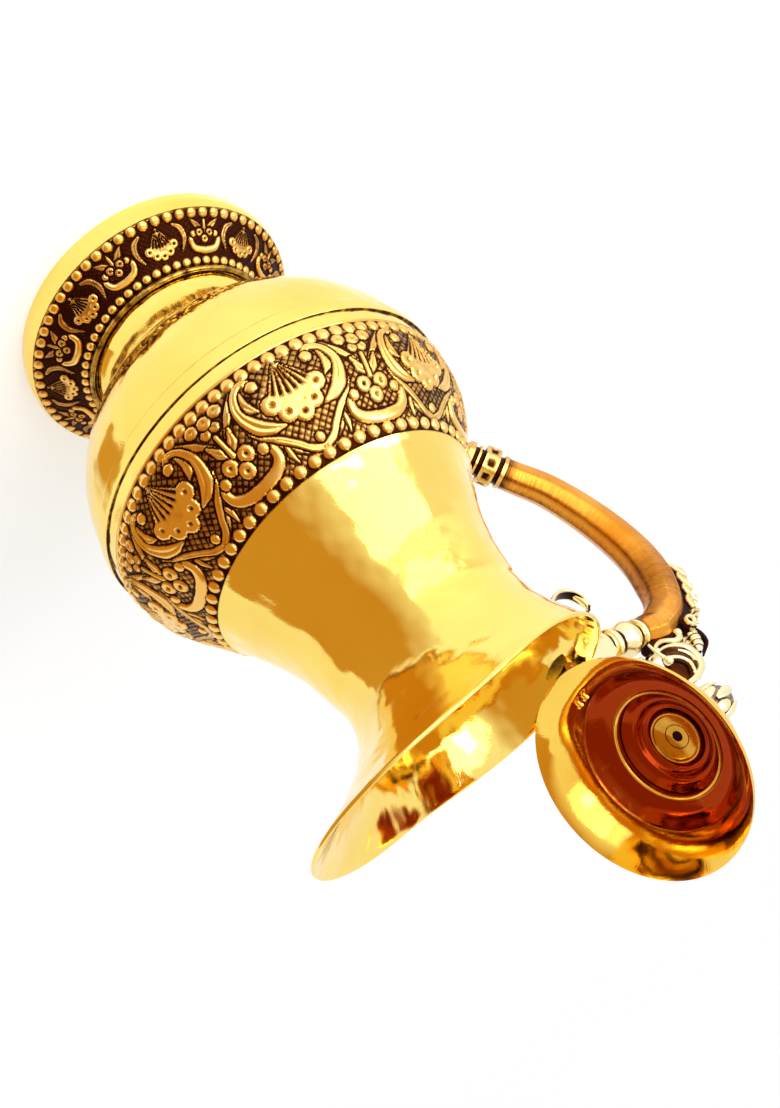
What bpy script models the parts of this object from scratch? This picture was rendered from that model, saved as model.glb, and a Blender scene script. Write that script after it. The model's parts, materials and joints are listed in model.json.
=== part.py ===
"""Lidded brass jug on a spread foot: embossed belly, pouring lip, cast handle and hinged bell lid.

Units are metres, +Z is up and the jug stands on Z = 0. The pouring lip points along +X and the
handle along -X. The lid is drawn closed about its hinge and then swung open to its stop.
"""

import math

import bmesh
import bpy
from mathutils import Matrix, Vector

MM = 0.001

# Clearances
GAP = 0.3 * MM            # between touching pieces
PIN_GAP = 0.2 * MM        # round the hinge pin and the finial stud
LID_GAP = 0.8 * MM        # lid edge to the mouth it sits in

# Sheet metal
WALL = 1.3 * MM           # body, bowl and foot
LID_WALL = 1.2 * MM

# Foot
FOOT_RADIUS = 55.8 * MM   # at the table
FOOT_BULGE = 0.8 * MM     # how far the polished rim swells past it
FOOT_RIM_HEIGHT = 9.0 * MM
FOOT_RIM_WIDTH = 3.2 * MM  # flat ring that stands on the table
FLARE_RISE = 12.6 * MM    # embossed cone, from the rim to the stem
STEM_RING_RADIUS = 1.0 * MM
STEM_RADIUS = 35.4 * MM   # at its waist
STEM_SPREAD = 2.0 * MM    # how much wider it is at its foot
STEM_HEIGHT = 15.0 * MM   # above the cone

# Body
BOWL_SEAT_RADIUS = 35.8 * MM
BOWL_HEIGHT = 58.1 * MM   # from its seat to the widest line
BOWL_FULLNESS = 2.4       # power of the bowl's curve
BELLY_RADIUS = 70.0 * MM
SEAM_DROP = 2.6 * MM      # where the bowl meets the upper body, below the widest line
SEAM_BAND_HEIGHT = 5.6 * MM
SEAM_BAND_THICKNESS = 0.7 * MM
SHOULDER_INSET = 2.6 * MM   # how far the shoulder has drawn in from the belly
SHOULDER_RISE = 19.0 * MM   # each rise is from the line below
BAND_TOP_RADIUS = 52.6 * MM
BAND_TOP_RISE = 24.0 * MM
THROAT_RADIUS = 41.5 * MM
THROAT_RISE = 24.0 * MM
NECK_RADIUS = 36.6 * MM
NECK_RISE = 24.0 * MM
RIM_RADIUS = 45.8 * MM    # of the round part of the mouth
RIM_RISE = 29.6 * MM      # at the handle
LIP_REACH = 37.0 * MM     # pouring lip, past the round mouth
LIP_RISE = 17.4 * MM
LIP_NARROWNESS = 7.7      # power that shapes the lip's outline
LIP_SWEEP = 2.8           # power that shapes the lip's rise
MOUTH_FLARE = 2.0         # power of the flare from neck to rim

# Embossing, main forms
RELIEF_RISE = 0.6 * MM    # tops, past the plain sheet
RELIEF_SINK = 0.3 * MM    # ground, below it
RELIEF_EASE = 1.3         # where a form's side meets the ground, against its half width
BELLY_REPEAT = math.radians(48.0)
BELLY_REPEATS = 7
BELLY_START = math.radians(-12.0)   # azimuth of a palmette, from the pouring lip
BEAD_RISE = 8.0 * MM      # lower bead row, along the shoulder from the widest line
BAND_WIDTH = 36.4 * MM    # from bead row to bead row
BEAD_DIP = 0.1            # height between two beads, against a bead's
BEAD_RIB = 0.6            # height of a bead row that is made as a plain rib
BAND_MIDDLE = 0.345       # where a motif has its drawn width, from the band's foot to its top
STUB_PATCH = 9.0 * MM     # plain patch round the handle's elbow
FOOT_REPEATS = 8
FOOT_START = math.radians(-67.5)
FOOT_BEAD_INSET = 1.6 * MM   # outer bead row, up the cone from its rim
FOOT_BAND_WIDTH = 17.4 * MM
FOOT_MIDDLE = 0.333

# Lid, with heights above its edge
LID_SINK = 7.8 * MM       # from the mouth's edge down to the lid's
LID_BRIM = 10.55 * MM     # width of the trumpet from the lid's edge to its bell
LID_BELL_HEIGHT = 15.0 * MM
LID_STEP_RADIUS = 18.7 * MM
LID_STEP_HEIGHT = 20.2 * MM
LID_TOP_RADIUS = 8.3 * MM
LID_TOP_HEIGHT = 28.7 * MM
LID_OPEN_ANGLE = math.radians(99.5)

# Finial, above the lid's top
STUD_RADIUS = 2.0 * MM
COLLAR_RADIUS = 8.6 * MM
COLLAR_HEIGHT = 3.2 * MM
FINIAL_NECK_RADIUS = 3.4 * MM
FINIAL_BUD_RADIUS = 7.6 * MM
FINIAL_HEIGHT = 33.5 * MM
WASHER_THICKNESS = 1.2 * MM
NUT_RADIUS = 4.4 * MM
NUT_HEIGHT = 2.6 * MM

# Hinge
HINGE_INSET = 8.2 * MM    # pin inside the round mouth
HINGE_RISE = 0.2 * MM     # pin above the rim
PIN_RADIUS = 1.4 * MM
KNUCKLE_RADIUS = 3.2 * MM
STRAP_HALF_WIDTH = 3.8 * MM
STRAP_SLACK = 0.4 * MM    # between the lid's strap and the ears beside it
STRAP_EDGE = 0.95         # the strap's edges, in knuckle radii from the pin
EAR_WIDTH = 3.3 * MM
EAR_MARGIN = 0.2 * MM     # how far the ears stand out past the knuckle
PIN_PROUD = 0.5 * MM      # how far each end of the pin stands out of the ears
BRIDGE_CLEARANCE = 0.6 * MM
BRIDGE_THICKNESS = 3.6 * MM
SADDLE_THICKNESS = 1.5 * MM   # over the arm, at the saddle's thin end
RIVET_RADIUS = 1.1 * MM
RIVET_HEAD_RADIUS = 1.7 * MM
RIVET_DEPTH = 2.0 * MM    # into the leaf, past the bell's outside
RIVET_HEAD_HEIGHT = 0.9 * MM
RIVET_SPACING = 4.0 * MM

# Handle, with distances from the jug's axis
ARM_DROP = 7.1 * MM       # its axis, below the mouth's edge
ARM_RADIUS = 5.0 * MM
ARM_RING = 1.2            # turned rings, against the arm's radius
ARM_GROOVE = 0.88
ARM_STOP_RING = 3.0 * MM  # the last groove and ring, before the grip
ARM_FLANGE_RADIUS = 6.6 * MM
ARM_FLANGE_THICKNESS = 5.6 * MM
SADDLE_LENGTH = 15.0 * MM
ARM_TURNED_LENGTH = 30.2 * MM   # rings and bulb, past the saddle
ARM_BULB_RADIUS = 6.8 * MM
FERRULE_TILT = math.radians(50.0)
FERRULE_LENGTH = 17.6 * MM
FERRULE_BLOCK_RADIUS = 7.8 * MM
FERRULE_RING_RADIUS = 6.8 * MM
FERRULE_GROOVE_RADIUS = 5.6 * MM
STUB_LIFT = 6.0 * MM      # elbow that joins the ferrule to the belly, above the widest line
STUB_RADIUS = 5.0 * MM
STUB_REACH = 16.6 * MM
STUB_RISE = 3.6 * MM
GRIP_BOW = 29.5 * MM      # how far its centre line bows out past the arm
GRIP_LEAD = 4.0 * MM      # straight stretch at each end
GRIP_LOW_RADIUS = 6.2 * MM
GRIP_HIGH_RADIUS = 8.2 * MM
GRIP_TOP_RADIUS = 6.4 * MM
CAST_LEAF_SPAN = (0.57, 0.81)   # stretch of the grip that the cast leaf covers
CAST_LEAF_WIDTH = 14.0 * MM
CAST_LEAF_THICKNESS = 4.6 * MM
CAST_LEAF_FAN = 17.0 * MM   # the leaf's tail, standing clear of the grip
CAST_LEAF_TURNS = (math.radians(14.0), math.radians(24.0), math.radians(30.0))
VOLUTE_WIDTH = 9.0 * MM
VOLUTE_BAND = 2.8 * MM
VOLUTE_OVERHANG = 2.5 * MM   # its middle, past the arm's end
VOLUTE_START = math.radians(205.0)
VOLUTE_TURN = math.radians(360.0)
VOLUTE_COIL = 0.4         # radius of its inner end, against its outside
SPUR_WIDTH = 8.0 * MM
SPUR_BAND = 2.6 * MM
SPUR_REACH = 26.0 * MM
SPUR_DROP = 21.5 * MM

# Facets
ROUND_STEPS = 48          # round the foot, bowl and lid
BODY_STEPS = 60           # round the upper body, twice as many in its band
BAND_ROWS = 12            # between the bead rows of the belly
FOOT_ROWS = 5             # between the bead rows of the foot
MOUTH_STEPS = 6           # from the neck to the rim
BOWL_STEPS = 8
SMALL_STEPS = 20          # round turned handle parts
PIN_STEPS = 16
VOLUTE_STEPS = 12
GRIP_SIDES = 8            # of the grip and its ferrule

# Places worked out from the sizes above
FLARE_TOP_Z = FOOT_RIM_HEIGHT + FLARE_RISE
BOWL_Z = FLARE_TOP_Z + STEM_HEIGHT + GAP
BELLY_Z = BOWL_Z + BOWL_HEIGHT
SEAM_Z = BELLY_Z - SEAM_DROP
SHOULDER_RADIUS = BELLY_RADIUS - SHOULDER_INSET
SHOULDER_Z = BELLY_Z + SHOULDER_RISE
BAND_TOP_Z = SHOULDER_Z + BAND_TOP_RISE
THROAT_Z = BAND_TOP_Z + THROAT_RISE
NECK_Z = THROAT_Z + NECK_RISE
RIM_Z = NECK_Z + RIM_RISE
LID_SEAT_Z = RIM_Z - LID_SINK
ARM_Z = RIM_Z - ARM_DROP
STUB_Z = BELLY_Z + STUB_LIFT
HINGE_X = -(RIM_RADIUS - HINGE_INSET)
HINGE_Z = RIM_Z + HINGE_RISE

for old in list(bpy.data.objects):
    bpy.data.objects.remove(old, do_unlink=True)


def brass(name, colour, roughness):
    """A metal with the given linear colour."""
    made = bpy.data.materials.new(name)
    made.use_nodes = True
    shader = made.node_tree.nodes["Principled BSDF"]
    shader.inputs["Base Color"].default_value = (*colour, 1.0)
    shader.inputs["Metallic"].default_value = 1.0
    shader.inputs["Roughness"].default_value = roughness
    return made


POLISHED = brass("polished_brass", (0.78, 0.47, 0.12), 0.12)
EMBOSSED = brass("embossed_brass", (0.70, 0.40, 0.10), 0.28)
CAST = brass("cast_brass", (0.66, 0.37, 0.09), 0.34)


def pivot(name, location, parent=None):
    """An empty that carries the pieces placed about it."""
    made = bpy.data.objects.new(name, None)
    bpy.context.scene.collection.objects.link(made)
    made.location = location
    made.parent = parent
    return made


def add(name, mesh_data, parent, material, smooth_angle=35.0):
    """Links a bmesh as a named object, smooth but for its sharp edges."""
    bmesh.ops.recalc_face_normals(mesh_data, faces=mesh_data.faces)
    mesh = bpy.data.meshes.new(name)
    mesh_data.to_mesh(mesh)
    mesh_data.free()
    mesh.shade_smooth()
    mesh.set_sharp_from_angle(angle=math.radians(smooth_angle))
    made = bpy.data.objects.new(name, mesh)
    bpy.context.scene.collection.objects.link(made)
    made.parent = parent
    if material:
        made.data.materials.append(material)
    return made


def as_cutter(made):
    """Marks an object as a tool that only cuts others."""
    made.hide_render = True
    made.display_type = "WIRE"
    return made


def cut(target, *cutters):
    """Subtracts cutters from a piece."""
    for cutter in cutters:
        boolean = target.modifiers.new("cut_" + cutter.name, "BOOLEAN")
        boolean.operation = "DIFFERENCE"
        boolean.solver = "EXACT"
        boolean.object = cutter
    return target


def lerp(a, b, share):
    """The value a share of the way from a to b."""
    return a + (b - a) * share


def smooth_line(points, count):
    """A Catmull-Rom line through the points, with count steps between neighbours."""
    points = [Vector(p) for p in points]
    ends = [2 * points[0] - points[1], *points, 2 * points[-1] - points[-2]]
    line = []
    for a, b, c, d in zip(ends, ends[1:], ends[2:], ends[3:]):
        for step in range(count):
            t = step / count
            line.append(0.5 * (2 * b + (c - a) * t + (2 * a - 5 * b + 4 * c - d) * t * t
                               + (3 * b - a - 3 * c + d) * t ** 3))
    return [*line, points[-1]]


def offset_line(line, distance):
    """The (radius, height) line moved to its left side by a distance."""
    moved = []
    for i, point in enumerate(line):
        before = Vector(line[max(i - 1, 0)])
        after = Vector(line[min(i + 1, len(line) - 1)])
        along = (after - before).normalized()
        moved.append(Vector(point) + Vector((-along.y, along.x)) * distance)
    return moved


def lathe(outline, steps, to_axis=False):
    """Spins a (radius, height) outline about Z: a closed loop, or a line with both ends on the axis."""
    turned = bmesh.new()
    points = [turned.verts.new((r, 0.0, z)) for r, z in outline]
    pairs = list(zip(points, points[1:]))
    if not to_axis:
        pairs.append((points[-1], points[0]))
    edges = [turned.edges.new(pair) for pair in pairs]
    bmesh.ops.spin(turned, geom=points + edges, cent=(0, 0, 0), axis=(0, 0, 1), angle=math.tau,
                   steps=steps, use_merge=True)
    bmesh.ops.remove_doubles(turned, verts=turned.verts, dist=1e-7)
    return turned


def sweep(path, sections):
    """A closed bar: each section is a loop of (side, up) offsets at a point of a path in the XZ plane."""
    bar = bmesh.new()
    rings = []
    for i, (centre, section) in enumerate(zip(path, sections)):
        along = (path[min(i + 1, len(path) - 1)] - path[max(i - 1, 0)]).normalized()
        up = Vector((-along.y, along.x))
        rings.append([bar.verts.new((centre.x + up.x * v, u, centre.y + up.y * v)) for u, v in section])
    for a, b in zip(rings, rings[1:]):
        for k in range(len(a)):
            j = (k + 1) % len(a)
            bar.faces.new((a[k], a[j], b[j], b[k]))
    bar.faces.new(rings[0])
    bar.faces.new(rings[-1])
    return bar


def prism(outline, half_width, centre_y=0.0):
    """An (x, z) outline as a plate of the given half width about a Y plane."""
    plate = bmesh.new()
    base = [plate.verts.new((x, centre_y - half_width, z)) for x, z in outline]
    face = plate.faces.new(base)
    grown = bmesh.ops.extrude_face_region(plate, geom=[face])
    moved = [v for v in grown["geom"] if isinstance(v, bmesh.types.BMVert)]
    bmesh.ops.translate(plate, vec=(0, 2 * half_width, 0), verts=moved)
    return plate


def arc(centre, radius, start, end, count):
    """Points on an arc in a plane, angles in degrees."""
    angles = [math.radians(lerp(start, end, k / count)) for k in range(count + 1)]
    return [(centre[0] + radius * math.cos(a), centre[1] + radius * math.sin(a)) for a in angles]


def polygon_section(radius, sides):
    """A bar's section with a flat on each side."""
    angles = [math.tau * (k + 0.5) / sides for k in range(sides)]
    outer = radius / math.cos(math.pi / sides)
    return [(outer * math.cos(a), outer * math.sin(a)) for a in angles]


def round_bar(radius, length, steps):
    """A cylinder along Z that starts at the origin."""
    return lathe([(0, 0), (radius, 0), (radius, length), (0, length)], steps, to_axis=True)


# Body outline

SHOULDER_LINE = smooth_line(
    [(BELLY_RADIUS, BELLY_Z), (SHOULDER_RADIUS, SHOULDER_Z), (BAND_TOP_RADIUS, BAND_TOP_Z),
     (THROAT_RADIUS, THROAT_Z), (NECK_RADIUS, NECK_Z)], 3)


def body_radius(z):
    """The belly's outer radius: the bowl's curve up to the widest line, then the shoulder's."""
    if z <= BELLY_Z:
        share = (BELLY_Z - z) / BOWL_HEIGHT
        return lerp(BELLY_RADIUS, BOWL_SEAT_RADIUS, share ** BOWL_FULLNESS)
    for low, high in zip(SHOULDER_LINE, SHOULDER_LINE[1:]):
        if z <= high.y:
            return lerp(low.x, high.x, (z - low.y) / (high.y - low.y))
    return NECK_RADIUS


def mouth_rim(angle):
    """Radius and height of the mouth's edge at an angle from the pouring lip."""
    facing = (1 + math.cos(angle)) / 2
    return RIM_RADIUS + LIP_REACH * facing ** LIP_NARROWNESS, RIM_Z + LIP_RISE * facing ** LIP_SWEEP


def mouth_point(angle, share):
    """Radius and height of the flared mouth, from the neck at 0 to the rim at 1."""
    rim_radius, rim_z = mouth_rim(angle)
    return lerp(NECK_RADIUS, rim_radius, share ** MOUTH_FLARE), lerp(NECK_Z, rim_z, share)


def back_radius(z):
    """The body's outer radius on the handle side at a height above the neck."""
    share = (z - NECK_Z) / (RIM_Z - NECK_Z)
    return lerp(NECK_RADIUS, RIM_RADIUS, share ** MOUTH_FLARE)


MOUTH_SLOPE = MOUTH_FLARE * (RIM_RADIUS - NECK_RADIUS) / (RIM_Z - NECK_Z)
SEAT_SLOPE = MOUTH_SLOPE * (LID_SEAT_Z - NECK_Z) / (RIM_Z - NECK_Z)
LID_RADIUS = back_radius(LID_SEAT_Z) - WALL * math.hypot(1, SEAT_SLOPE) - LID_GAP
LID_BELL_RADIUS = LID_RADIUS - LID_BRIM
SEAM_LOW = SEAM_Z - SEAM_BAND_HEIGHT / 2
SEAM_HIGH = SEAM_Z + SEAM_BAND_HEIGHT / 2
SEAM_BAND_RADIUS = max(body_radius(z) for z in (SEAM_LOW, SEAM_Z, SEAM_HIGH)) + GAP
BELLY_AT_STUB = body_radius(STUB_Z)
FLANGE_END = back_radius(ARM_Z) + ARM_FLANGE_THICKNESS
SADDLE_END = FLANGE_END + GAP + SADDLE_LENGTH
ARM_END = SADDLE_END + ARM_TURNED_LENGTH
GRIP_REACH = ARM_END + GRIP_BOW
JUG_AXIS_X = (GRIP_REACH + GRIP_HIGH_RADIUS - RIM_RADIUS - LIP_REACH) / 2   # centres the box on X = 0


# Embossing: each motif is a line of (across, up) millimetres from the palmette's axis and the lower beads,
# with its half width, and is mirrored about that axis

BELLY_MOTIFS = (
    ([(0, 5), (0, 18)], 4.6),                                                 # palmette
    ([(0, 17), (6, 16)], 4.0),                                                # its scalloped top
    ([(9.5, 5), (12, 2.6), (17, 9), (17.2, 13), (15.2, 17.5), (8, 21.9)], 2.4),   # acanthus leaf
    ([(0, 33), (8.2, 28.6), (15.4, 22.2)], 2.0),                              # vine
    ([(18.4, 23.2), (15.8, 25.4), (18, 30), (26.8, 32.4)], 2.4),              # scroll over the trefoil
    ([(26.8, 25), (23.4, 21)], 3.2),                                          # trefoil
    ([(26.8, 18), (24, 13), (22, 9)], 2.2),                                   # petal under it
    ([(26.8, 5), (22, 4)], 2.2),                                              # shells on the beads
)
FOOT_MOTIFS = (
    ([(0, 4), (0, 11)], 3.0),
    ([(0, 11), (4.6, 9.6)], 2.6),
    ([(7, 3), (9.6, 6), (8.6, 13)], 1.8),
    ([(14.2, 7.6), (13, 10), (15, 13), (19.2, 13.8)], 1.9),
    ([(19.2, 9), (16.6, 6.6)], 2.2),
)


def form_height(x, y, motifs):
    """Height of the highest motif at a point, from 0 on the ground to 1 on a top."""
    here = Vector((abs(x), y))
    best = 0.0
    for line, half_width in motifs:
        points = [Vector(point) * MM for point in line]
        for a, b in zip(points, points[1:]):
            share = max(0.0, min(1.0, (here - a).dot(b - a) / (b - a).length_squared))
            away = (here - lerp(a, b, share)).length / (half_width * MM)
            best = max(best, min(1.0, (RELIEF_EASE - away) / (RELIEF_EASE - 0.5)))
    return best


def emboss(height):
    """How far the sheet is moved out for a height."""
    return lerp(-RELIEF_SINK, RELIEF_RISE, height)


def nearest_motif(angle, start, repeat, repeats):
    """Angle from the nearest palmette, or None past the last repeat."""
    along = (angle - start + (repeats // 2 + 0.5) * repeat) % math.tau
    if along >= repeats * repeat:
        return None
    return along % repeat - repeat / 2


def belly_relief(angle, index, edge, up, point):
    """How far the belly's sheet moves out: a rib, then motifs, then beads, one to each pair of points."""
    round_elbow = point.x * abs(angle - math.pi)
    if math.hypot(round_elbow, point.y - STUB_Z) < STUB_PATCH:
        return 0.0
    if edge == "low":
        return emboss(BEAD_RIB)
    if edge == "high":
        return emboss(1.0 if index % 2 == 0 else BEAD_DIP)
    turn = nearest_motif(angle, BELLY_START, BELLY_REPEAT, BELLY_REPEATS)
    if turn is None:
        return emboss(0.0)
    middle_radius = lerp(BELLY_RADIUS, BAND_TOP_RADIUS, BAND_MIDDLE)
    return emboss(form_height(turn * middle_radius, up, BELLY_MOTIFS))


def foot_relief(angle, index, edge, up, point):
    """How far the foot's sheet moves out: motifs between two ribs."""
    if edge:
        return emboss(BEAD_RIB)
    turn = nearest_motif(angle, FOOT_START, math.tau / FOOT_REPEATS, FOOT_REPEATS)
    middle_radius = lerp(FOOT_RADIUS, STEM_RADIUS, FOOT_MIDDLE)
    return emboss(form_height(turn * middle_radius, up, FOOT_MOTIFS))


def ring(point, steps):
    """A loop of points about Z through a (radius, height) point."""
    angles = [math.tau * k / steps for k in range(steps)]
    return [(point.x * math.cos(a), point.x * math.sin(a), point.y) for a in angles]


def band_rings(line, steps, relief):
    """Loops of an embossed stretch, moved out by its relief: line runs from bead row to bead row."""
    loops = []
    up = 0.0
    for row, point in enumerate(line):
        before = line[max(row - 1, 0)]
        after = line[min(row + 1, len(line) - 1)]
        along = (after - before).normalized()
        out = Vector((along.y, -along.x))
        up += (point - before).length
        edge = {0: "low", len(line) - 1: "high"}.get(row)
        loop = []
        for k in range(steps):
            angle = math.tau * k / steps
            place = point + out * relief(angle, k, edge, up, point)
            loop.append((place.x * math.cos(angle), place.x * math.sin(angle), place.y))
        loops.append(loop)
    return loops


def ring_solid(rings):
    """A closed solid through loops of points, where a loop may have twice as many points as its neighbour."""
    solid = bmesh.new()
    loops = [[solid.verts.new(point) for point in loop] for loop in rings]
    for a, b in zip(loops, loops[1:] + loops[:1]):
        count = min(len(a), len(b))
        for k in range(count):
            j = (k + 1) % count
            if len(a) == len(b):
                solid.faces.new((a[k], a[j], b[j], b[k]))
            elif len(a) < len(b):
                low, middle, high = b[2 * k], b[2 * k + 1], b[2 * j]
                solid.faces.new((a[k], middle, low))
                solid.faces.new((a[k], a[j], middle))
                solid.faces.new((a[j], high, middle))
            else:
                low, middle, high = a[2 * k], a[2 * k + 1], a[2 * j]
                solid.faces.new((low, middle, b[k]))
                solid.faces.new((middle, b[j], b[k]))
                solid.faces.new((middle, high, b[j]))
    return solid


def make_foot(jug):
    """The spread foot, its ring and its stem."""
    bulge_z = FOOT_RIM_HEIGHT * 0.6
    rim = smooth_line([(FOOT_RADIUS, 0), (FOOT_RADIUS + FOOT_BULGE, bulge_z),
                       (FOOT_RADIUS, FOOT_RIM_HEIGHT)], 3)
    top_hole = STEM_RADIUS + STEM_SPREAD + GAP
    cone_low, cone_top = Vector((FOOT_RADIUS, FOOT_RIM_HEIGHT)), Vector((top_hole, FLARE_TOP_Z))
    cone_length = (cone_top - cone_low).length
    inner = offset_line([lerp(cone_low, cone_top, share) for share in (0.06, 0.3, 0.65, 1.0)], WALL)
    foot_inside = FOOT_RADIUS - FOOT_RIM_WIDTH
    inner = [point for point in inner[:-1] if point.x < foot_inside]
    steepness = FLARE_RISE / (FOOT_RADIUS - top_hole)
    inner.append(Vector((top_hole, FLARE_TOP_Z - WALL * math.hypot(1, steepness))))
    row_step = FOOT_BAND_WIDTH / FOOT_ROWS
    band = [lerp(cone_low, cone_top, (FOOT_BEAD_INSET + row_step * k) / cone_length)
            for k in range(FOOT_ROWS + 1)]
    plain = [cone_top, *reversed(inner), Vector((foot_inside, bulge_z)), Vector((foot_inside, 0))]
    add("foot_flare", ring_solid([*[ring(point, ROUND_STEPS) for point in rim],
                                  *band_rings(band, 2 * ROUND_STEPS, foot_relief),
                                  *[ring(point, ROUND_STEPS) for point in plain]]), jug, EMBOSSED)

    ring_centre = (top_hole + STEM_RING_RADIUS, FLARE_TOP_Z + GAP + STEM_RING_RADIUS)
    add("stem_ring", lathe(arc(ring_centre, STEM_RING_RADIUS, 0, 315, 7), ROUND_STEPS), jug, POLISHED)

    stem_low = FLARE_TOP_Z - WALL
    stem_top = BOWL_Z - GAP
    stem = smooth_line([(STEM_RADIUS + STEM_SPREAD, stem_low),
                        (STEM_RADIUS + STEM_SPREAD * 0.6, FLARE_TOP_Z + WALL * 2),
                        (STEM_RADIUS, lerp(FLARE_TOP_Z, stem_top, 0.55)),
                        (BOWL_SEAT_RADIUS, stem_top)], 2)
    tube = [*stem, *reversed([point - Vector((WALL, 0)) for point in stem])]
    add("stem_collar", lathe(tube, ROUND_STEPS), jug, POLISHED)


def make_body(jug):
    """The bowl, the band over its seam, and the upper body with its pouring lip."""
    bowl_top = SEAM_Z - GAP / 2
    heights = [lerp(BOWL_Z, bowl_top, (k / BOWL_STEPS) ** 1.3) for k in range(BOWL_STEPS + 1)]
    outside = [Vector((body_radius(z), z)) for z in heights]
    inside = offset_line(outside, WALL)
    inside = [Vector((point.x, max(point.y, BOWL_Z + WALL))) for point in inside]
    inside[-1].y = bowl_top
    outline = [Vector((0, BOWL_Z)), *outside, *reversed(inside), Vector((0, inside[0].y))]
    add("lower_bowl", lathe(outline, ROUND_STEPS, to_axis=True), jug, POLISHED)

    band_outside = SEAM_BAND_RADIUS + SEAM_BAND_THICKNESS
    bevel = SEAM_BAND_THICKNESS / 2
    band = [(SEAM_BAND_RADIUS, SEAM_LOW), (band_outside - bevel, SEAM_LOW), (band_outside, SEAM_LOW + bevel),
            (band_outside, SEAM_HIGH - bevel), (band_outside - bevel, SEAM_HIGH),
            (SEAM_BAND_RADIUS, SEAM_HIGH)]
    add("seam_band", lathe(band, ROUND_STEPS), jug, POLISHED)

    make_upper_body(jug)


def shoulder_at(distance):
    """The point of the shoulder's line a distance along it from the widest line."""
    for low, high in zip(SHOULDER_LINE, SHOULDER_LINE[1:]):
        length = (high - low).length
        if distance <= length:
            return lerp(low, high, distance / length)
        distance -= length
    return SHOULDER_LINE[-1]


def mouth_ring(share, depth):
    """A loop of points of the flared mouth, a depth inside its outer face."""
    loop = []
    near = 0.5 / MOUTH_STEPS
    for k in range(BODY_STEPS):
        angle = math.tau * k / BODY_STEPS
        place = Vector(mouth_point(angle, share))
        inward = Vector((-1, 0))
        if share < 1:
            along = Vector(mouth_point(angle, share + near)) - Vector(mouth_point(angle, share - near))
            inward = Vector((-along.y, along.x)).normalized()
        place += inward * depth
        loop.append((place.x * math.cos(angle), place.x * math.sin(angle), place.y))
    return loop


def make_upper_body(jug):
    """Loops of points from the seam to the mouth's edge, and back down inside the wall."""
    start_z = SEAM_Z + GAP / 2
    start = Vector((body_radius(start_z), start_z))
    row_step = BAND_WIDTH / BAND_ROWS
    band = [shoulder_at(BEAD_RISE + row_step * k) for k in range(BAND_ROWS + 1)]
    low_edge, high_edge = (shoulder_at(BEAD_RISE + row_step * k) for k in (-1, BAND_ROWS + 1))
    neck = [point for point in SHOULDER_LINE if point.y > high_edge.y + row_step]
    inside = offset_line([start, *[point for point in SHOULDER_LINE if point.y > SEAM_HIGH]], WALL)
    inside[0] = start - Vector((WALL, 0))
    shares = [k / MOUTH_STEPS for k in range(1, MOUTH_STEPS + 1)]
    loops = [ring(start, BODY_STEPS), ring(low_edge, BODY_STEPS),
             *band_rings(band, 2 * BODY_STEPS, belly_relief),
             *[ring(point, BODY_STEPS) for point in [high_edge, *neck]],
             *[mouth_ring(share, 0.0) for share in shares],
             *[mouth_ring(share, WALL) for share in reversed(shares)],
             *[ring(point, BODY_STEPS) for point in reversed(inside)]]
    add("upper_body", ring_solid(loops), jug, EMBOSSED)


def make_body_cutter(jug):
    """The body's outside and its seam band as a solid, grown by the gap, to trim what is brazed on."""
    band_clear = SEAM_BAND_RADIUS + SEAM_BAND_THICKNESS + GAP
    high = SEAM_HIGH + GAP
    mouth = [Vector(mouth_point(math.pi, k / MOUTH_STEPS)) for k in range(1, MOUTH_STEPS + 1)]
    line = offset_line([*SHOULDER_LINE, *mouth], -GAP)
    line = [point for point in line if point.y > high]
    outline = [(0, SEAM_LOW), (band_clear, SEAM_LOW), (band_clear, high), (body_radius(high) + GAP, high),
               *line, (0, line[-1].y)]
    return as_cutter(add("body_cutter", lathe(outline, BODY_STEPS, to_axis=True), jug, None))


# Handle

FERRULE_OUT = Vector((-math.cos(FERRULE_TILT), math.sin(FERRULE_TILT)))
FERRULE_START = Vector((-(BELLY_AT_STUB + STUB_REACH), STUB_Z + STUB_RISE))


def grip_line():
    """The grip's centre line, from the ferrule up and over to the arm, with a straight lead at each end."""
    low = FERRULE_START + FERRULE_OUT * (FERRULE_LENGTH + GAP)
    high = Vector((-(ARM_END + GAP), ARM_Z))
    height = high.y - low.y
    out_low = GRIP_REACH + low.x
    out_high = GRIP_REACH + high.x
    bow = smooth_line([low + FERRULE_OUT * GRIP_LEAD, (low.x - out_low * 0.54, low.y + height * 0.17),
                       (low.x - out_low * 0.88, low.y + height * 0.39), (-GRIP_REACH, low.y + height * 0.61),
                       (high.x - out_high * 0.88, low.y + height * 0.79),
                       (high.x - out_high * 0.60, low.y + height * 0.93),
                       high - Vector((GRIP_LEAD, 0))], 4)
    return [low, *bow, high]


def grip_radius(share):
    """Half the grip's thickness along its length."""
    if share < 0.7:
        return lerp(GRIP_LOW_RADIUS, GRIP_HIGH_RADIUS, share / 0.7)
    return lerp(GRIP_HIGH_RADIUS, GRIP_TOP_RADIUS, (share - 0.7) / 0.3)


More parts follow.
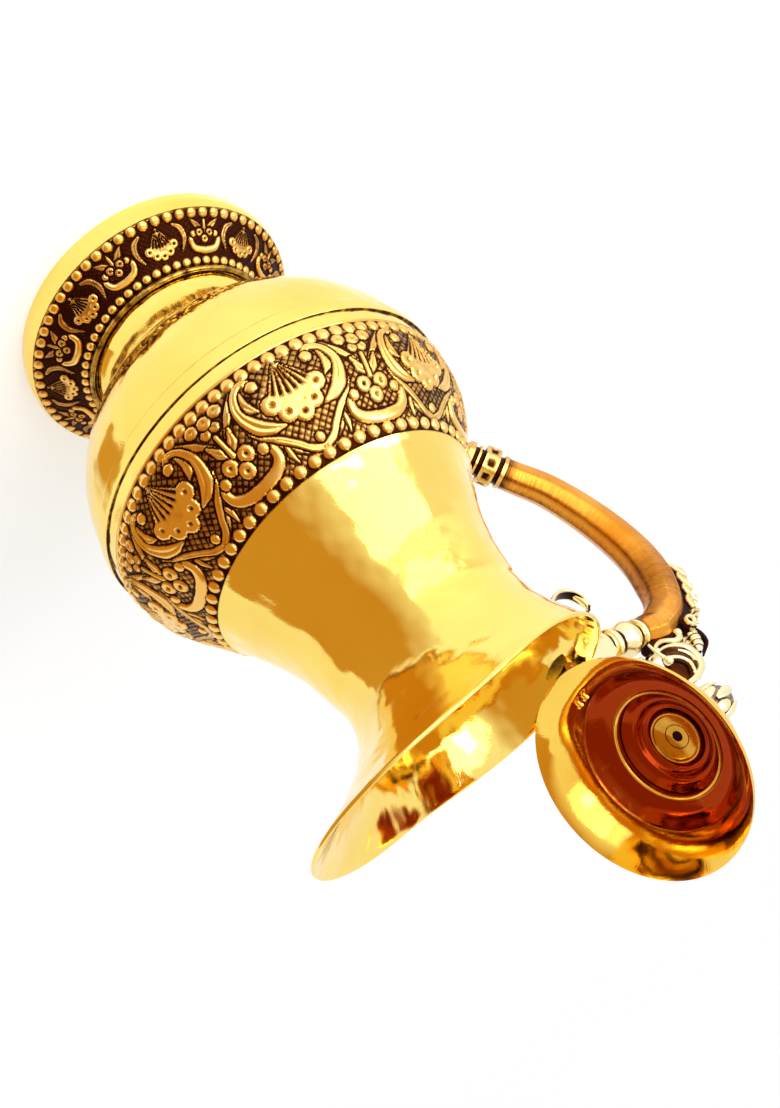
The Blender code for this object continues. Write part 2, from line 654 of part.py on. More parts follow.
def make_grip(jug):
    """The eight-sided cast grip and the leaf on its back."""
    line = grip_line()
    last = len(line) - 1
    sections = [polygon_section(grip_radius(i / last), GRIP_SIDES) for i in range(last + 1)]
    add("handle_grip", sweep(line, sections), jug, CAST, smooth_angle=30.0)

    first, final = (round(share * last) for share in CAST_LEAF_SPAN)
    backed = []
    for i in range(first, final + 1):
        along = (line[i + 1] - line[i - 1]).normalized()
        outward = Vector((-along.y, along.x))
        backed.append(line[i] + outward * (grip_radius(i / last) + GAP))
    leaf = list(backed)
    for turn in CAST_LEAF_TURNS:
        onward = Matrix.Rotation(turn, 2) @ (backed[-1] - backed[-2]).normalized()
        leaf.append(leaf[-1] + onward * CAST_LEAF_FAN / len(CAST_LEAF_TURNS))
    spans = len(leaf) - 1
    leaf_sections = []
    for i in range(spans + 1):
        share = i / spans
        width = CAST_LEAF_WIDTH / 2 * (0.25 + 0.75 * math.sin(math.pi * min(share * 0.75 + 0.08, 1.0)))
        thick = CAST_LEAF_THICKNESS * (0.35 + 0.65 * math.sin(math.pi * min(share + 0.05, 0.95)))
        leaf_sections.append([(width, 0), (width * 0.9, thick * 0.45), (width * 0.4, thick * 0.9),
                              (-width * 0.4, thick * 0.9), (-width * 0.9, thick * 0.45), (-width, 0)])
    add("handle_leaf", sweep(leaf, leaf_sections), jug, CAST)


def make_arm(jug, body_cutter):
    """The turned arm from the neck to the grip."""
    groove = ARM_RADIUS * ARM_GROOVE
    ring = ARM_RADIUS * ARM_RING
    bulb = (SADDLE_END + ARM_TURNED_LENGTH * 0.38, ARM_END - ARM_STOP_RING)
    ring_step = (bulb[0] - SADDLE_END) / 6
    chamfer = ARM_FLANGE_RADIUS - ARM_RADIUS
    outline = [(0, NECK_RADIUS), (ARM_FLANGE_RADIUS, NECK_RADIUS), (ARM_FLANGE_RADIUS, FLANGE_END - chamfer),
               (ARM_RADIUS, FLANGE_END), (ARM_RADIUS, SADDLE_END)]
    for turn in range(2):
        start = SADDLE_END + turn * 3 * ring_step
        outline += [(ring, start + ring_step * 0.5), (ring, start + ring_step * 1.7),
                    (groove, start + ring_step * 2.2), (groove, start + ring_step * 2.8)]
    for share in (0.1, 0.3, 0.5, 0.7, 0.9):
        swell = lerp(groove, ARM_BULB_RADIUS, math.sin(math.pi * share))
        outline.append((swell, lerp(*bulb, share)))
    outline += [(groove, bulb[1]), (ring, bulb[1] + ARM_STOP_RING * 0.3), (ring, ARM_END), (0, ARM_END)]
    arm = add("upper_arm", lathe(outline, SMALL_STEPS, to_axis=True), jug, CAST)
    arm.location = (0, 0, ARM_Z)
    arm.rotation_euler = (0, -math.pi / 2, 0)
    cut(arm, body_cutter)


def make_ferrule(jug, body_cutter):
    """The eight-sided ferrule at the grip's foot, on an elbow brazed to the belly."""
    root = Vector((-(BELLY_AT_STUB - STUB_RADIUS), STUB_Z))
    bend = Vector((-(BELLY_AT_STUB + STUB_REACH * 0.5), STUB_Z + STUB_RISE * 0.25))
    line = smooth_line([root, bend, FERRULE_START], 3)
    radii = [STUB_RADIUS * lerp(1.2, 0.96, i / (len(line) - 1)) for i in range(len(line))]
    block, ring, groove = FERRULE_BLOCK_RADIUS, FERRULE_RING_RADIUS, FERRULE_GROOVE_RADIUS
    for radius, start, end in ((ring, 0.04, 0.17), (groove, 0.20, 0.25), (ring, 0.28, 0.32),
                               (groove, 0.35, 0.40), (block, 0.44, 0.78), (groove, 0.82, 0.88),
                               (ring, 0.91, 1.0)):
        line += [FERRULE_START + FERRULE_OUT * FERRULE_LENGTH * share for share in (start, end)]
        radii += [radius, radius]
    sections = [polygon_section(radius, GRIP_SIDES) for radius in radii]
    ferrule = add("lower_ferrule", sweep(line, sections), jug, CAST)
    cut(ferrule, body_cutter)


def ribbon_sections(count, width_start, width_end, band):
    """Rectangular sections that narrow along a band."""
    sections = []
    for i in range(count):
        half = lerp(width_start, width_end, i / (count - 1)) / 2
        sections.append([(half, -band / 2), (half, band / 2), (-half, band / 2), (-half, -band / 2)])
    return sections


def finial_foot_height(x):
    """Height of the open finial's underside over a point on the handle's top."""
    turned = math.pi / 2 - LID_OPEN_ANGLE
    along = Vector((-math.cos(turned), math.sin(turned)))
    centre = open_lid_point(0.0, 0.0)
    distance = (x - centre.x) / along.x
    return centre.y + along.y * distance - FINIAL_BUD_RADIUS / math.cos(turned)


def open_lid_point(radius, height):
    """A point of the lid's front meridian, swung open, in the handle's plane."""
    arm = Vector((radius - HINGE_X, LID_SEAT_Z + height - HINGE_Z))
    c, s = math.cos(LID_OPEN_ANGLE), math.sin(LID_OPEN_ANGLE)
    return Vector((HINGE_X + arm.x * c - arm.y * s, HINGE_Z + arm.x * s + arm.y * c))


def make_scrolls(jug):
    """The volute that stops the open lid, and the spur under the arm."""
    grip = grip_line()
    tops = [point.y + grip_radius(i / (len(grip) - 1)) for i, point in enumerate(grip)]
    seat = max(*tops, ARM_Z + ARM_RADIUS * ARM_RING) + GAP + VOLUTE_BAND / 2
    middle_x = -(ARM_END + VOLUTE_OVERHANG)
    top = finial_foot_height(middle_x) - GAP - VOLUTE_BAND / 2
    radius = (top - seat) / 2
    middle = Vector((middle_x, top - radius))
    root = Vector((middle_x + radius * 0.9, seat))
    curl = []
    for k in range(VOLUTE_STEPS + 1):
        angle = VOLUTE_START - VOLUTE_TURN * k / VOLUTE_STEPS
        reach = radius * lerp(1.0, VOLUTE_COIL, k / VOLUTE_STEPS)
        curl.append(middle + Vector((math.cos(angle), math.sin(angle))) * reach)
    bend = Vector((lerp(root.x, curl[0].x, 0.85), lerp(root.y, curl[0].y, 0.35)))
    line = smooth_line([root, Vector((lerp(root.x, bend.x, 0.6), root.y)), bend, *curl], 2)
    sections = ribbon_sections(len(line), VOLUTE_WIDTH, VOLUTE_WIDTH * 0.7, VOLUTE_BAND)
    add("handle_volute", sweep(line, sections), jug, CAST)

    start = Vector((-(FLANGE_END + SADDLE_LENGTH * 0.25), ARM_Z - ARM_RADIUS - GAP))
    shape = [(0, 0), (0.05, 0.42), (0.30, 0.80), (0.62, 1.0), (0.90, 0.93), (1.0, 0.68), (0.88, 0.53)]
    spur = smooth_line([start + Vector((-SPUR_REACH * out, -SPUR_DROP * down)) for out, down in shape], 3)
    sections = ribbon_sections(len(spur), SPUR_WIDTH, SPUR_WIDTH * 0.55, SPUR_BAND)
    add("neck_spur", sweep(spur, sections), jug, CAST)


# Hinge and lid

def make_bracket(jug):
    """The saddle on the arm whose two ears reach over the rim to the pin."""
    ear_edge = STRAP_HALF_WIDTH + STRAP_SLACK
    half = ear_edge + EAR_WIDTH
    outside = -(FLANGE_END + GAP)
    under = RIM_Z + BRIDGE_CLEARANCE
    over = under + BRIDGE_THICKNESS
    ear = KNUCKLE_RADIUS + EAR_MARGIN
    outline = [(outside - SADDLE_LENGTH, ARM_Z), (outside, ARM_Z), (outside, under), (HINGE_X - ear, under)]
    outline += arc((HINGE_X, HINGE_Z), ear, 190, 450, 10)
    outline += [(lerp(HINGE_X, outside, 0.5), over), (outside - SADDLE_LENGTH * 0.4, over),
                (outside - SADDLE_LENGTH, ARM_Z + ARM_RADIUS + SADDLE_THICKNESS)]
    bracket = add("hinge_bracket", prism(outline, half), jug, CAST)

    strap_top = KNUCKLE_RADIUS * STRAP_EDGE
    lean, rise = -math.cos(LID_OPEN_ANGLE), math.sin(LID_OPEN_ANGLE)
    strap_run = (over - HINGE_Z + strap_top * lean) / rise
    reach = max(KNUCKLE_RADIUS, strap_top * rise + strap_run * lean) + STRAP_SLACK
    slot = [(HINGE_X - reach, HINGE_Z - 2 * ear), (HINGE_X + 3 * ear, HINGE_Z - 2 * ear),
            (HINGE_X + 3 * ear, HINGE_Z + 3 * ear), (HINGE_X - reach, HINGE_Z + 3 * ear)]
    slot_cutter = as_cutter(add("slot_cutter", prism(slot, ear_edge), jug, None))
    bore = round_bar(PIN_RADIUS + PIN_GAP, 4 * half, PIN_STEPS)
    bore_cutter = as_cutter(add("bracket_bore_cutter", bore, jug, None))
    bore_cutter.location = (HINGE_X, 2 * half, HINGE_Z)
    bore_cutter.rotation_euler = (math.pi / 2, 0, 0)
    arm = round_bar(ARM_RADIUS + GAP, ARM_END, SMALL_STEPS)
    arm_cutter = as_cutter(add("saddle_cutter", arm, jug, None))
    arm_cutter.location = (0, 0, ARM_Z)
    arm_cutter.rotation_euler = (0, -math.pi / 2, 0)
    cut(bracket, slot_cutter, bore_cutter, arm_cutter)

    length = 2 * (half + PIN_PROUD)
    pin = add("hinge_pin", round_bar(PIN_RADIUS, length, PIN_STEPS), jug, POLISHED)
    pin.location = (HINGE_X, length / 2, HINGE_Z)
    pin.rotation_euler = (math.pi / 2, 0, 0)


def lid_lines():
    """The lid's inner and outer lines, from its edge to its top."""
    brim = LID_RADIUS - LID_BELL_RADIUS
    bell = [(LID_RADIUS, 0)]
    for share in (0.28, 0.56, 0.78, 0.92, 1.0):
        rise = 1 - math.sqrt(max(0.0, 1 - share * share))
        bell.append((LID_RADIUS - brim * share, LID_BELL_HEIGHT * rise))
    dome = smooth_line([(LID_BELL_RADIUS, LID_BELL_HEIGHT), (lerp(LID_BELL_RADIUS, LID_STEP_RADIUS, 0.45),
                        lerp(LID_BELL_HEIGHT, LID_STEP_HEIGHT, 0.72)), (LID_STEP_RADIUS, LID_STEP_HEIGHT)], 2)
    cap_rise = LID_TOP_HEIGHT - LID_STEP_HEIGHT
    cap = [(LID_STEP_RADIUS - cap_rise * 0.05, LID_STEP_HEIGHT + cap_rise * 0.25),
           (lerp(LID_STEP_RADIUS, LID_TOP_RADIUS, 0.55), LID_STEP_HEIGHT + cap_rise * 0.72),
           (LID_TOP_RADIUS, LID_TOP_HEIGHT)]
    inner = [Vector(point) for point in [*bell, *dome[1:], *cap]]
    outer = offset_line(inner, -LID_WALL)
    outer[0] = Vector((LID_RADIUS, LID_WALL))
    outer[-1].y = LID_TOP_HEIGHT + LID_WALL
    return inner, outer


def make_lid(lid):
    """The bell lid, its hinge leaf and its finial, drawn closed with the hinge pin at the origin."""
    axis_x = -HINGE_X
    edge_z = LID_SEAT_Z - HINGE_Z
    inner, outer = lid_lines()
    hole = STUD_RADIUS + PIN_GAP
    loop = [*inner, Vector((hole, inner[-1].y)), Vector((hole, outer[-1].y)), *reversed(outer)]
    shell = add("lid_shell", lathe(loop, ROUND_STEPS), lid, POLISHED)
    shell.location = (axis_x, 0, edge_z)

    clear = offset_line(outer, -GAP)
    solid = [Vector((0, -LID_BELL_HEIGHT)), Vector((LID_RADIUS, -LID_BELL_HEIGHT)),
             Vector((LID_RADIUS, LID_WALL + GAP)), *clear[1:], Vector((0, clear[-1].y))]
    bell_cutter = as_cutter(add("bell_cutter", lathe(solid, ROUND_STEPS, to_axis=True), lid, None))
    bell_cutter.location = (axis_x, 0, edge_z)

    strap_end = axis_x - LID_BELL_RADIUS * 0.97
    edge = KNUCKLE_RADIUS * STRAP_EDGE
    strap = [(0, -edge), (strap_end, -edge), (strap_end, edge), (KNUCKLE_RADIUS * 1.2, edge)]
    strap += arc((0, 0), KNUCKLE_RADIUS, 60, 252, 10)
    leaf = add("lid_hinge_leaf", prism(strap, STRAP_HALF_WIDTH), lid, CAST)
    bore = round_bar(PIN_RADIUS + PIN_GAP, 4 * STRAP_HALF_WIDTH, PIN_STEPS)
    bore_cutter = as_cutter(add("leaf_bore_cutter", bore, lid, None))
    bore_cutter.location = (0, 2 * STRAP_HALF_WIDTH, 0)
    bore_cutter.rotation_euler = (math.pi / 2, 0, 0)
    cut(leaf, bell_cutter, bore_cutter)
    make_rivets(lid, leaf, shell, axis_x, edge_z)
    make_finial(lid, axis_x, edge_z, outer[-1].y, inner[-1].y)


def bell_radius(height):
    """The bell's inner radius at a height above the lid's edge."""
    left = 1 - height / LID_BELL_HEIGHT
    return LID_RADIUS - (LID_RADIUS - LID_BELL_RADIUS) * math.sqrt(1 - left * left)


def make_rivets(lid, leaf, shell, axis_x, edge_z):
    """Two rivets driven level from the leaf through the bell, with their heads inside it."""
    level = -edge_z
    side_reach = RIVET_SPACING / 2 + RIVET_HEAD_RADIUS
    seat = math.sqrt(bell_radius(level + RIVET_HEAD_RADIUS) ** 2 - side_reach ** 2) - GAP
    tip = axis_x - bell_radius(level) - LID_WALL - RIVET_DEPTH
    head_foot = axis_x - seat
    head_top = head_foot + RIVET_HEAD_HEIGHT
    shank = [(0, tip), (RIVET_RADIUS, tip), (RIVET_RADIUS, head_foot)]
    head = [(RIVET_HEAD_RADIUS, head_foot), (RIVET_HEAD_RADIUS * 0.8, head_top), (0, head_top)]
    clear = RIVET_RADIUS + PIN_GAP
    hole = [(0, tip - GAP), (clear, tip - GAP), (clear, head_foot), (0, head_foot)]
    for side, word in ((-1, "left"), (1, "right")):
        place = (0, side * RIVET_SPACING / 2, 0)
        rivet = add(f"lid_rivet_{word}", lathe([*shank, *head], PIN_STEPS, to_axis=True), lid, POLISHED)
        cutter = as_cutter(add(f"rivet_cutter_{word}", lathe(hole, PIN_STEPS, to_axis=True), lid, None))
        for piece in (rivet, cutter):
            piece.location = place
            piece.rotation_euler = (0, math.pi / 2, 0)
        cut(leaf, cutter)
        cut(shell, cutter)


def make_finial(lid, axis_x, edge_z, top_outside, top_inside):
    """The collar, the cast bud with its stud, and the washer and nut under the lid."""
    base = top_outside + GAP
    bore = STUD_RADIUS + PIN_GAP
    collar = [(bore, base), (COLLAR_RADIUS, base), (COLLAR_RADIUS, base + COLLAR_HEIGHT * 0.45),
              (COLLAR_RADIUS * 0.62, base + COLLAR_HEIGHT), (bore, base + COLLAR_HEIGHT)]
    placed = [add("finial_collar", lathe(collar, SMALL_STEPS), lid, POLISHED)]

    foot = base + COLLAR_HEIGHT + GAP
    nut_low = top_inside - GAP - WASHER_THICKNESS - GAP - NUT_HEIGHT
    bud = FINIAL_BUD_RADIUS
    stud_low = nut_low + NUT_HEIGHT * 0.3
    outline = [(0, stud_low), (STUD_RADIUS, stud_low), (STUD_RADIUS, foot)]
    neck = FINIAL_NECK_RADIUS
    for radius, share in ((COLLAR_RADIUS * 0.6, 0.0), (COLLAR_RADIUS * 0.55, 0.05), (neck, 0.13),
                          (neck, 0.20), (bud * 0.62, 0.23), (bud * 0.62, 0.27), (bud * 0.5, 0.31),
                          (bud * 0.82, 0.41), (bud, 0.53), (bud * 0.97, 0.68), (bud * 0.83, 0.80),
                          (bud * 0.6, 0.90), (bud * 0.3, 0.97), (0, 1.0)):
        outline.append((radius, foot + FINIAL_HEIGHT * share))
    placed.append(add("lid_finial", lathe(outline, SMALL_STEPS, to_axis=True), lid, CAST))

    washer_top = top_inside - GAP
    washer = [(bore, washer_top - WASHER_THICKNESS), (LID_TOP_RADIUS * 0.9, washer_top - WASHER_THICKNESS),
              (LID_TOP_RADIUS * 0.9, washer_top), (bore, washer_top)]
    placed.append(add("finial_washer", lathe(washer, SMALL_STEPS), lid, POLISHED))
    nut_top = nut_low + NUT_HEIGHT
    nut = [(bore, nut_low), (NUT_RADIUS * 0.8, nut_low), (NUT_RADIUS, stud_low), (NUT_RADIUS, nut_top),
           (bore, nut_top)]
    placed.append(add("finial_nut", lathe(nut, SMALL_STEPS), lid, POLISHED))
    for piece in placed:
        piece.location = (axis_x, 0, edge_z)


def main():
    jug = pivot("jug", (JUG_AXIS_X, 0, 0))
    lid = pivot("lid_pivot", (HINGE_X, 0, HINGE_Z), jug)
    lid.rotation_euler = (0, -LID_OPEN_ANGLE, 0)
    make_foot(jug)
    make_body(jug)
    body_cutter = make_body_cutter(jug)
    make_ferrule(jug, body_cutter)
    make_arm(jug, body_cutter)
    make_grip(jug)
    make_scrolls(jug)
    make_bracket(jug)
    make_lid(lid)


main()
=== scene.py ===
"""Looks of the lidded brass jug: chased relief, polished sheet, a cast handle and a white studio.

Lengths are millimetres from the jug's axis and the table, turned into metres as each mesh is made.
The studio's lengths are metres.
"""

import json
import math
from typing import Callable, NamedTuple

import bmesh
import bpy
import numpy as np
from mathutils import Matrix, Vector


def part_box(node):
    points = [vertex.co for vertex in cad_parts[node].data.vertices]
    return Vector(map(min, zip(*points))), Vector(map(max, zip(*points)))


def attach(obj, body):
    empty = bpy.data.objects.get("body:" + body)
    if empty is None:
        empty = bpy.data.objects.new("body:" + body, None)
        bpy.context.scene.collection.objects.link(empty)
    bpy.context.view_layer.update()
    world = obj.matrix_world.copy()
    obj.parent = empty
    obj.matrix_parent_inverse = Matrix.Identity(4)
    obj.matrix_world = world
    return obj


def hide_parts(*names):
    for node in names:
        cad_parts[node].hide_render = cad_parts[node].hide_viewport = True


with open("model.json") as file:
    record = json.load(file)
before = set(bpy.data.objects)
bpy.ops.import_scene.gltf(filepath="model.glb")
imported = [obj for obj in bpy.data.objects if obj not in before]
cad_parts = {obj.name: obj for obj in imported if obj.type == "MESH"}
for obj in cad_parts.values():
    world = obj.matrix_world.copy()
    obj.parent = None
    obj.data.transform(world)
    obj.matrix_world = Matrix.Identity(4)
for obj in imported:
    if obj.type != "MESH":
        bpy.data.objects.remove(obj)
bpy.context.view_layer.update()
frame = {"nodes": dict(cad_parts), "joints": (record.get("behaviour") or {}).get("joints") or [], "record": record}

MM = 0.001

# Places and bodies from the frame
BOWL_LOW, BOWL_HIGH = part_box("lower_bowl")
JUG_X = (BOWL_LOW.x + BOWL_HIGH.x) / 2
HINGE = Vector(frame["joints"][0]["pos_m"])
LID_OPEN = math.radians(frame["joints"][0]["range_deg"][1])
BODY_OF = {node: body for body, nodes in frame["record"]["behaviour"]["bodies"].items() for node in nodes}

# Body, as in the solids
WALL = 1.3
BELLY_RADIUS, BELLY_Z = 70.0, 95.0
BOWL_SEAT_RADIUS, BOWL_Z = 35.8, 36.9
BOWL_FULLNESS = 2.4
SEAM_Z, SEAM_HEIGHT, SEAM_PROUD = 92.4, 5.6, 1.0
NECK_RADIUS, NECK_Z = 36.6, 186.0
RIM_RADIUS, RIM_Z = 45.8, 215.6
LIP_REACH, LIP_RISE = 37.0, 17.4
LIP_NARROWNESS, LIP_SWEEP = 7.7, 2.8

# Foot, as in the solids
FOOT_RADIUS, FOOT_RIM_Z = 55.8, 9.0
FLARE_TOP_RADIUS, FLARE_TOP_Z = 37.7, 21.6
STEM_RADIUS, STEM_SPREAD = 35.4, 2.0

# Points round plain sheets
SHEET_COLUMNS, STEM_COLUMNS, NECK_COLUMNS, LID_COLUMNS = 288, 240, 320, 256

# Relief
RELIEF = 1.2              # from the sunk ground to the tops
RELIEF_BASE = 0.45        # share of it that lies below the plain sheet
LEAST, GROUND = 0.05, 0.34         # lowest level of a motif, and highest of the ground
LINE_EDGE, BOSS_EDGE = 0.3, 0.4    # height of a motif's edge against its top
DIMPLE, GROOVE = 0.36, 0.32        # width of a boss's dimple and a leaf's groove, as shares
FIELD_START, FIELD_EASE = 0.5, 0.4  # from a bead row to the chased field, and the field's soft edge
BEAD_SIDE, BEAD_EASE = 2.4, 0.5    # from a bead row to the plain sheet, and the sheet's soft edge
BEAD_RISE = 8.0           # lower bead row, along the shoulder from the widest line
FOOT_BEAD_RISE = 1.6      # lower bead row of the foot, along its cone
BAND_NET, FOOT_NET = 2.9, 2.2      # width of a scale of the pebbled ground

# Lid, with heights above its edge
LID_RADIUS = 39.05        # a little less than the solid, to clear the mouth when closed
LID_BELL, LID_BELL_HEIGHT = 28.8, 15.0
LID_SHOULDER = (24.3, 18.7)
LID_STEP, LID_STEP_HEIGHT = 18.7, 20.2
LID_ROLL, LID_ROLL_RADIUS = LID_STEP + 0.55, 0.75     # the rolled ring at the step
LID_TOP, LID_TOP_HEIGHT = 8.3, 28.7
LID_CAP = [(LID_STEP - 0.4, LID_STEP_HEIGHT + 2.2), (13.0, LID_STEP_HEIGHT + 6.1), (LID_TOP, LID_TOP_HEIGHT)]
LID_WALL, LID_HOLE = 1.2, 2.2
LID_FLARE_BOW = 0.34      # bow of the flare against the solid's
LID_AXIS, LID_EDGE = 37.6, -8.0    # from the hinge pin, lid closed
LID_GAP, COLLAR_HEIGHT = 0.3, 3.2  # gap between the lid and its fixings, and the collar under the finial

# Handle
ARM_Z, ARM_RADIUS = 208.5, 5.0
FERRULE_TILT = math.radians(50.0)
FERRULE_OUT = np.array([-math.cos(FERRULE_TILT), math.sin(FERRULE_TILT)])
FERRULE_START, FERRULE_LENGTH = np.array([-86.0, 104.6]), 17.6
SIDES, INNER_SIDE = 8, 6           # of the grip and the ferrule, and the one that faces the jug
GRIP_ROOT, GRIP_DIP = 6.2, 0.5     # how far the grip runs on over the arm's end, and how it dips there

# Camera, fitted to the photograph
CAMERA_AZIMUTH, CAMERA_ELEVATION = math.radians(-44.0), math.radians(31.59)
CAMERA_DISTANCE, CAMERA_TARGET_Z = 441.78, 111.91
CAMERA_PAN, CAMERA_TILT, CAMERA_ROLL = math.radians(-1.3), math.radians(4.29), math.radians(-139.9)
CAMERA_LENS, CAMERA_SENSOR = 40.08, 36.0


# Curves

def curve(points, count):
    """A Catmull-Rom line through the points, with count steps between neighbours."""
    points = np.array(points, float)
    ends = np.vstack([2 * points[0] - points[1], points, 2 * points[-1] - points[-2]])
    t = (np.arange(count) / count)[:, None]
    line = []
    for a, b, c, d in zip(ends, ends[1:], ends[2:], ends[3:]):
        line.append(0.5 * (2 * b + (c - a) * t + (2 * a - 5 * b + 4 * c - d) * t ** 2
                           + (3 * b - a - 3 * c + d) * t ** 3))
    return np.vstack([*line, points[-1:]])


def distances(line):
    """How far along a line each of its points lies."""
    return np.r_[0, np.cumsum(np.linalg.norm(np.diff(line, axis=0), axis=1))]


def even(line, count):
    """The line with count points at even distances."""
    line = np.array(line, float)
    steps = distances(line)
    places = np.linspace(0, steps[-1], count)
    return np.stack([np.interp(places, steps, line[:, k]) for k in range(line.shape[1])], axis=1)


def spread(values, count):
    """A few values spread evenly over count places."""
    return np.interp(np.linspace(0, 1, count), np.linspace(0, 1, len(values)), values)


def circle(columns):
    """Even angles round a ring."""
    return np.linspace(0, math.tau, columns, endpoint=False)


def unit(vectors):
    """The vectors at length one."""
    return vectors / np.maximum(np.linalg.norm(vectors, axis=-1, keepdims=True), 1e-9)


def ease(value, start, width):
    """0 up to the start, then rising to 1 over the width."""
    return np.clip((value - start) / width, 0, 1)


def hump(value, middle, width):
    """A bell curve, 1 at its middle."""
    return np.exp(-((value - middle) / width) ** 2)


def inward(outline, depth):
    """An upward outline moved towards the inside."""
    along = unit(np.gradient(np.array(outline, float), axis=0))
    return np.array(outline) + np.stack([-along[:, 1], along[:, 0]], axis=1) * depth


def turned(outline, columns, heights=None):
    """Rings of an outline of (radius, height) about Z, pushed out along its normals by heights."""
    outline = np.array(outline, float)
    turn = circle(columns)
    radius = np.repeat(outline[:, :1], columns, axis=1)
    level = np.repeat(outline[:, 1:], columns, axis=1)
    if heights is not None:
        along = unit(np.gradient(outline, axis=0))
        radius = radius + along[:, 1:] * heights
        level = level - along[:, :1] * heights
    return np.stack([radius * np.cos(turn), radius * np.sin(turn), level], axis=-1)


def swept(path, sections):
    """Rings of (side, up) section points along a path of (x, z) in the handle's plane."""
    path = np.array(path, float)
    along = unit(np.gradient(path, axis=0))
    sections = np.array(sections, float)
    x = path[:, :1] - along[:, 1:] * sections[:, :, 1]
    z = path[:, 1:] + along[:, :1] * sections[:, :, 1]
    return np.stack([x, sections[:, :, 0], z], axis=-1)


def ribbon(line, width, thickness, bulge=0.5):
    """Rings of a rounded band along a path in the handle's plane, tapering in width and thickness."""
    turn = circle(20)
    wide, thick = spread(width, len(line)) / 2, spread(thickness, len(line)) / 2
    flat = np.sign(np.cos(turn)) * np.abs(np.cos(turn)) ** bulge
    high = np.sign(np.sin(turn)) * np.abs(np.sin(turn)) ** bulge
    return swept(line, np.stack([wide[:, None] * flat, thick[:, None] * high], axis=-1))


def lid_place(points):
    """Moves points from the lid's own axis and edge to where the open lid is, from the jug's axis."""
    x, z = points[:, 0] + LID_AXIS, points[:, 2] + LID_EDGE
    c, s = math.cos(LID_OPEN), math.sin(LID_OPEN)
    hinge_x, hinge_z = (HINGE.x - JUG_X) / MM, HINGE.z / MM
    return np.stack([x * c - z * s + hinge_x, points[:, 1], x * s + z * c + hinge_z], axis=1)


# Meshes and pieces

def link(name, data):
    """A new object in the scene."""
    made = bpy.data.objects.new(name, data)
    bpy.context.scene.collection.objects.link(made)
    return made


def store(mesh, key, values):
    """Keeps a value at each point of a mesh."""
    layer = mesh.attributes.new(key, "FLOAT", "POINT")
    layer.data.foreach_set("value", np.asarray(values, np.float32))


def dress(mesh, name, node, material, sharp):
    """Makes a mesh into a piece that rides on a solid's body and stands for that solid."""
    mesh.materials.clear()
    mesh.materials.append(material)
    mesh.shade_smooth()
    mesh.set_sharp_from_angle(angle=math.radians(sharp))
    made = link(name, mesh)
    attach(made, BODY_OF[node])
    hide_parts(node)
    return made


class Shape:
    """Closed surfaces gathered into one mesh, with a relief value at each point."""

    def __init__(self):
        self.points, self.faces, self.values, self.along = [], [], [], []
        self.count = 0

    def grid(self, points, loop=False, values=1.0, along=0.0):
        """Rings of points, closed round each ring, and from the last ring to the first where loop is true."""
        rows, columns = points.shape[:2]
        i = np.arange(rows if loop else rows - 1)[:, None]
        j = np.arange(columns)
        k = (j + 1) % columns
        row, after = i * columns, (i + 1) % rows * columns
        quads = np.stack([row + j, row + k, after + k, after + j], axis=-1)
        self.faces += (quads.reshape(-1, 4) + self.count).tolist()
        if not loop:
            self.faces.append([self.count + c for c in reversed(range(columns))])
            self.faces.append([self.count + (rows - 1) * columns + c for c in range(columns)])
        self.points.append(points.reshape(-1, 3))
        for kept, data in ((self.values, values), (self.along, along)):
            kept.append(np.broadcast_to(np.asarray(data, float), (rows, columns)).reshape(-1))
        self.count += rows * columns

    def tube(self, line, radii, flat=1.0, side=(0, 1, 0), columns=10, values=1.0):
        """A tapered bar along a line in space, flattened across the given side direction."""
        line = np.array(line, float)
        along = unit(np.gradient(line, axis=0))
        across = unit(np.cross(along, np.broadcast_to(np.array(side, float), along.shape)))
        other = np.cross(across, along)
        turn = circle(columns)[None, :, None]
        ring = across[:, None] * np.cos(turn) * flat - other[:, None] * np.sin(turn)
        self.grid(line[:, None] + ring * spread(radii, len(line))[:, None, None], values=values)

    def ball(self, centre, radius, squash=(1, 1, 1), steps=8, values=1.0):
        """A small round boss, with its end rings just short of its poles."""
        turn = circle(2 * steps)
        rise = np.clip(np.linspace(-math.pi / 2, math.pi / 2, steps + 1), -1.5, 1.5)[:, None]
        rings = np.stack([np.cos(rise) * np.cos(turn), np.cos(rise) * np.sin(turn),
                          np.sin(rise) * np.ones_like(turn)], axis=-1)
        self.grid(np.array(centre, float) + rings * radius * np.array(squash, float), values=values)

    def make(self, name, node, material, sharp=40.0):
        """Turns the surfaces into a piece that stands for a solid."""
        points = np.vstack(self.points)
        if BODY_OF[node] == "lid":
            points = lid_place(points)
        mesh = bpy.data.meshes.new(name)
        mesh.from_pydata((points * MM + np.array([JUG_X, 0, 0])).tolist(), [], self.faces)
        store(mesh, "relief", np.concatenate(self.values))
        store(mesh, "along", np.concatenate(self.along))
        work = bmesh.new()
        work.from_mesh(mesh)
        bmesh.ops.remove_doubles(work, verts=work.verts, dist=1e-7)
        bmesh.ops.recalc_face_normals(work, faces=work.faces)
        work.to_mesh(mesh)
        work.free()
        dress(mesh, name, node, material, sharp)


def make_piece(name, node, material, rings, loop=True, values=1.0, along=0.0, sharp=40.0):
    """A piece of one surface."""
    shape = Shape()
    shape.grid(rings, loop, values, along)
    shape.make(name, node, material, sharp)


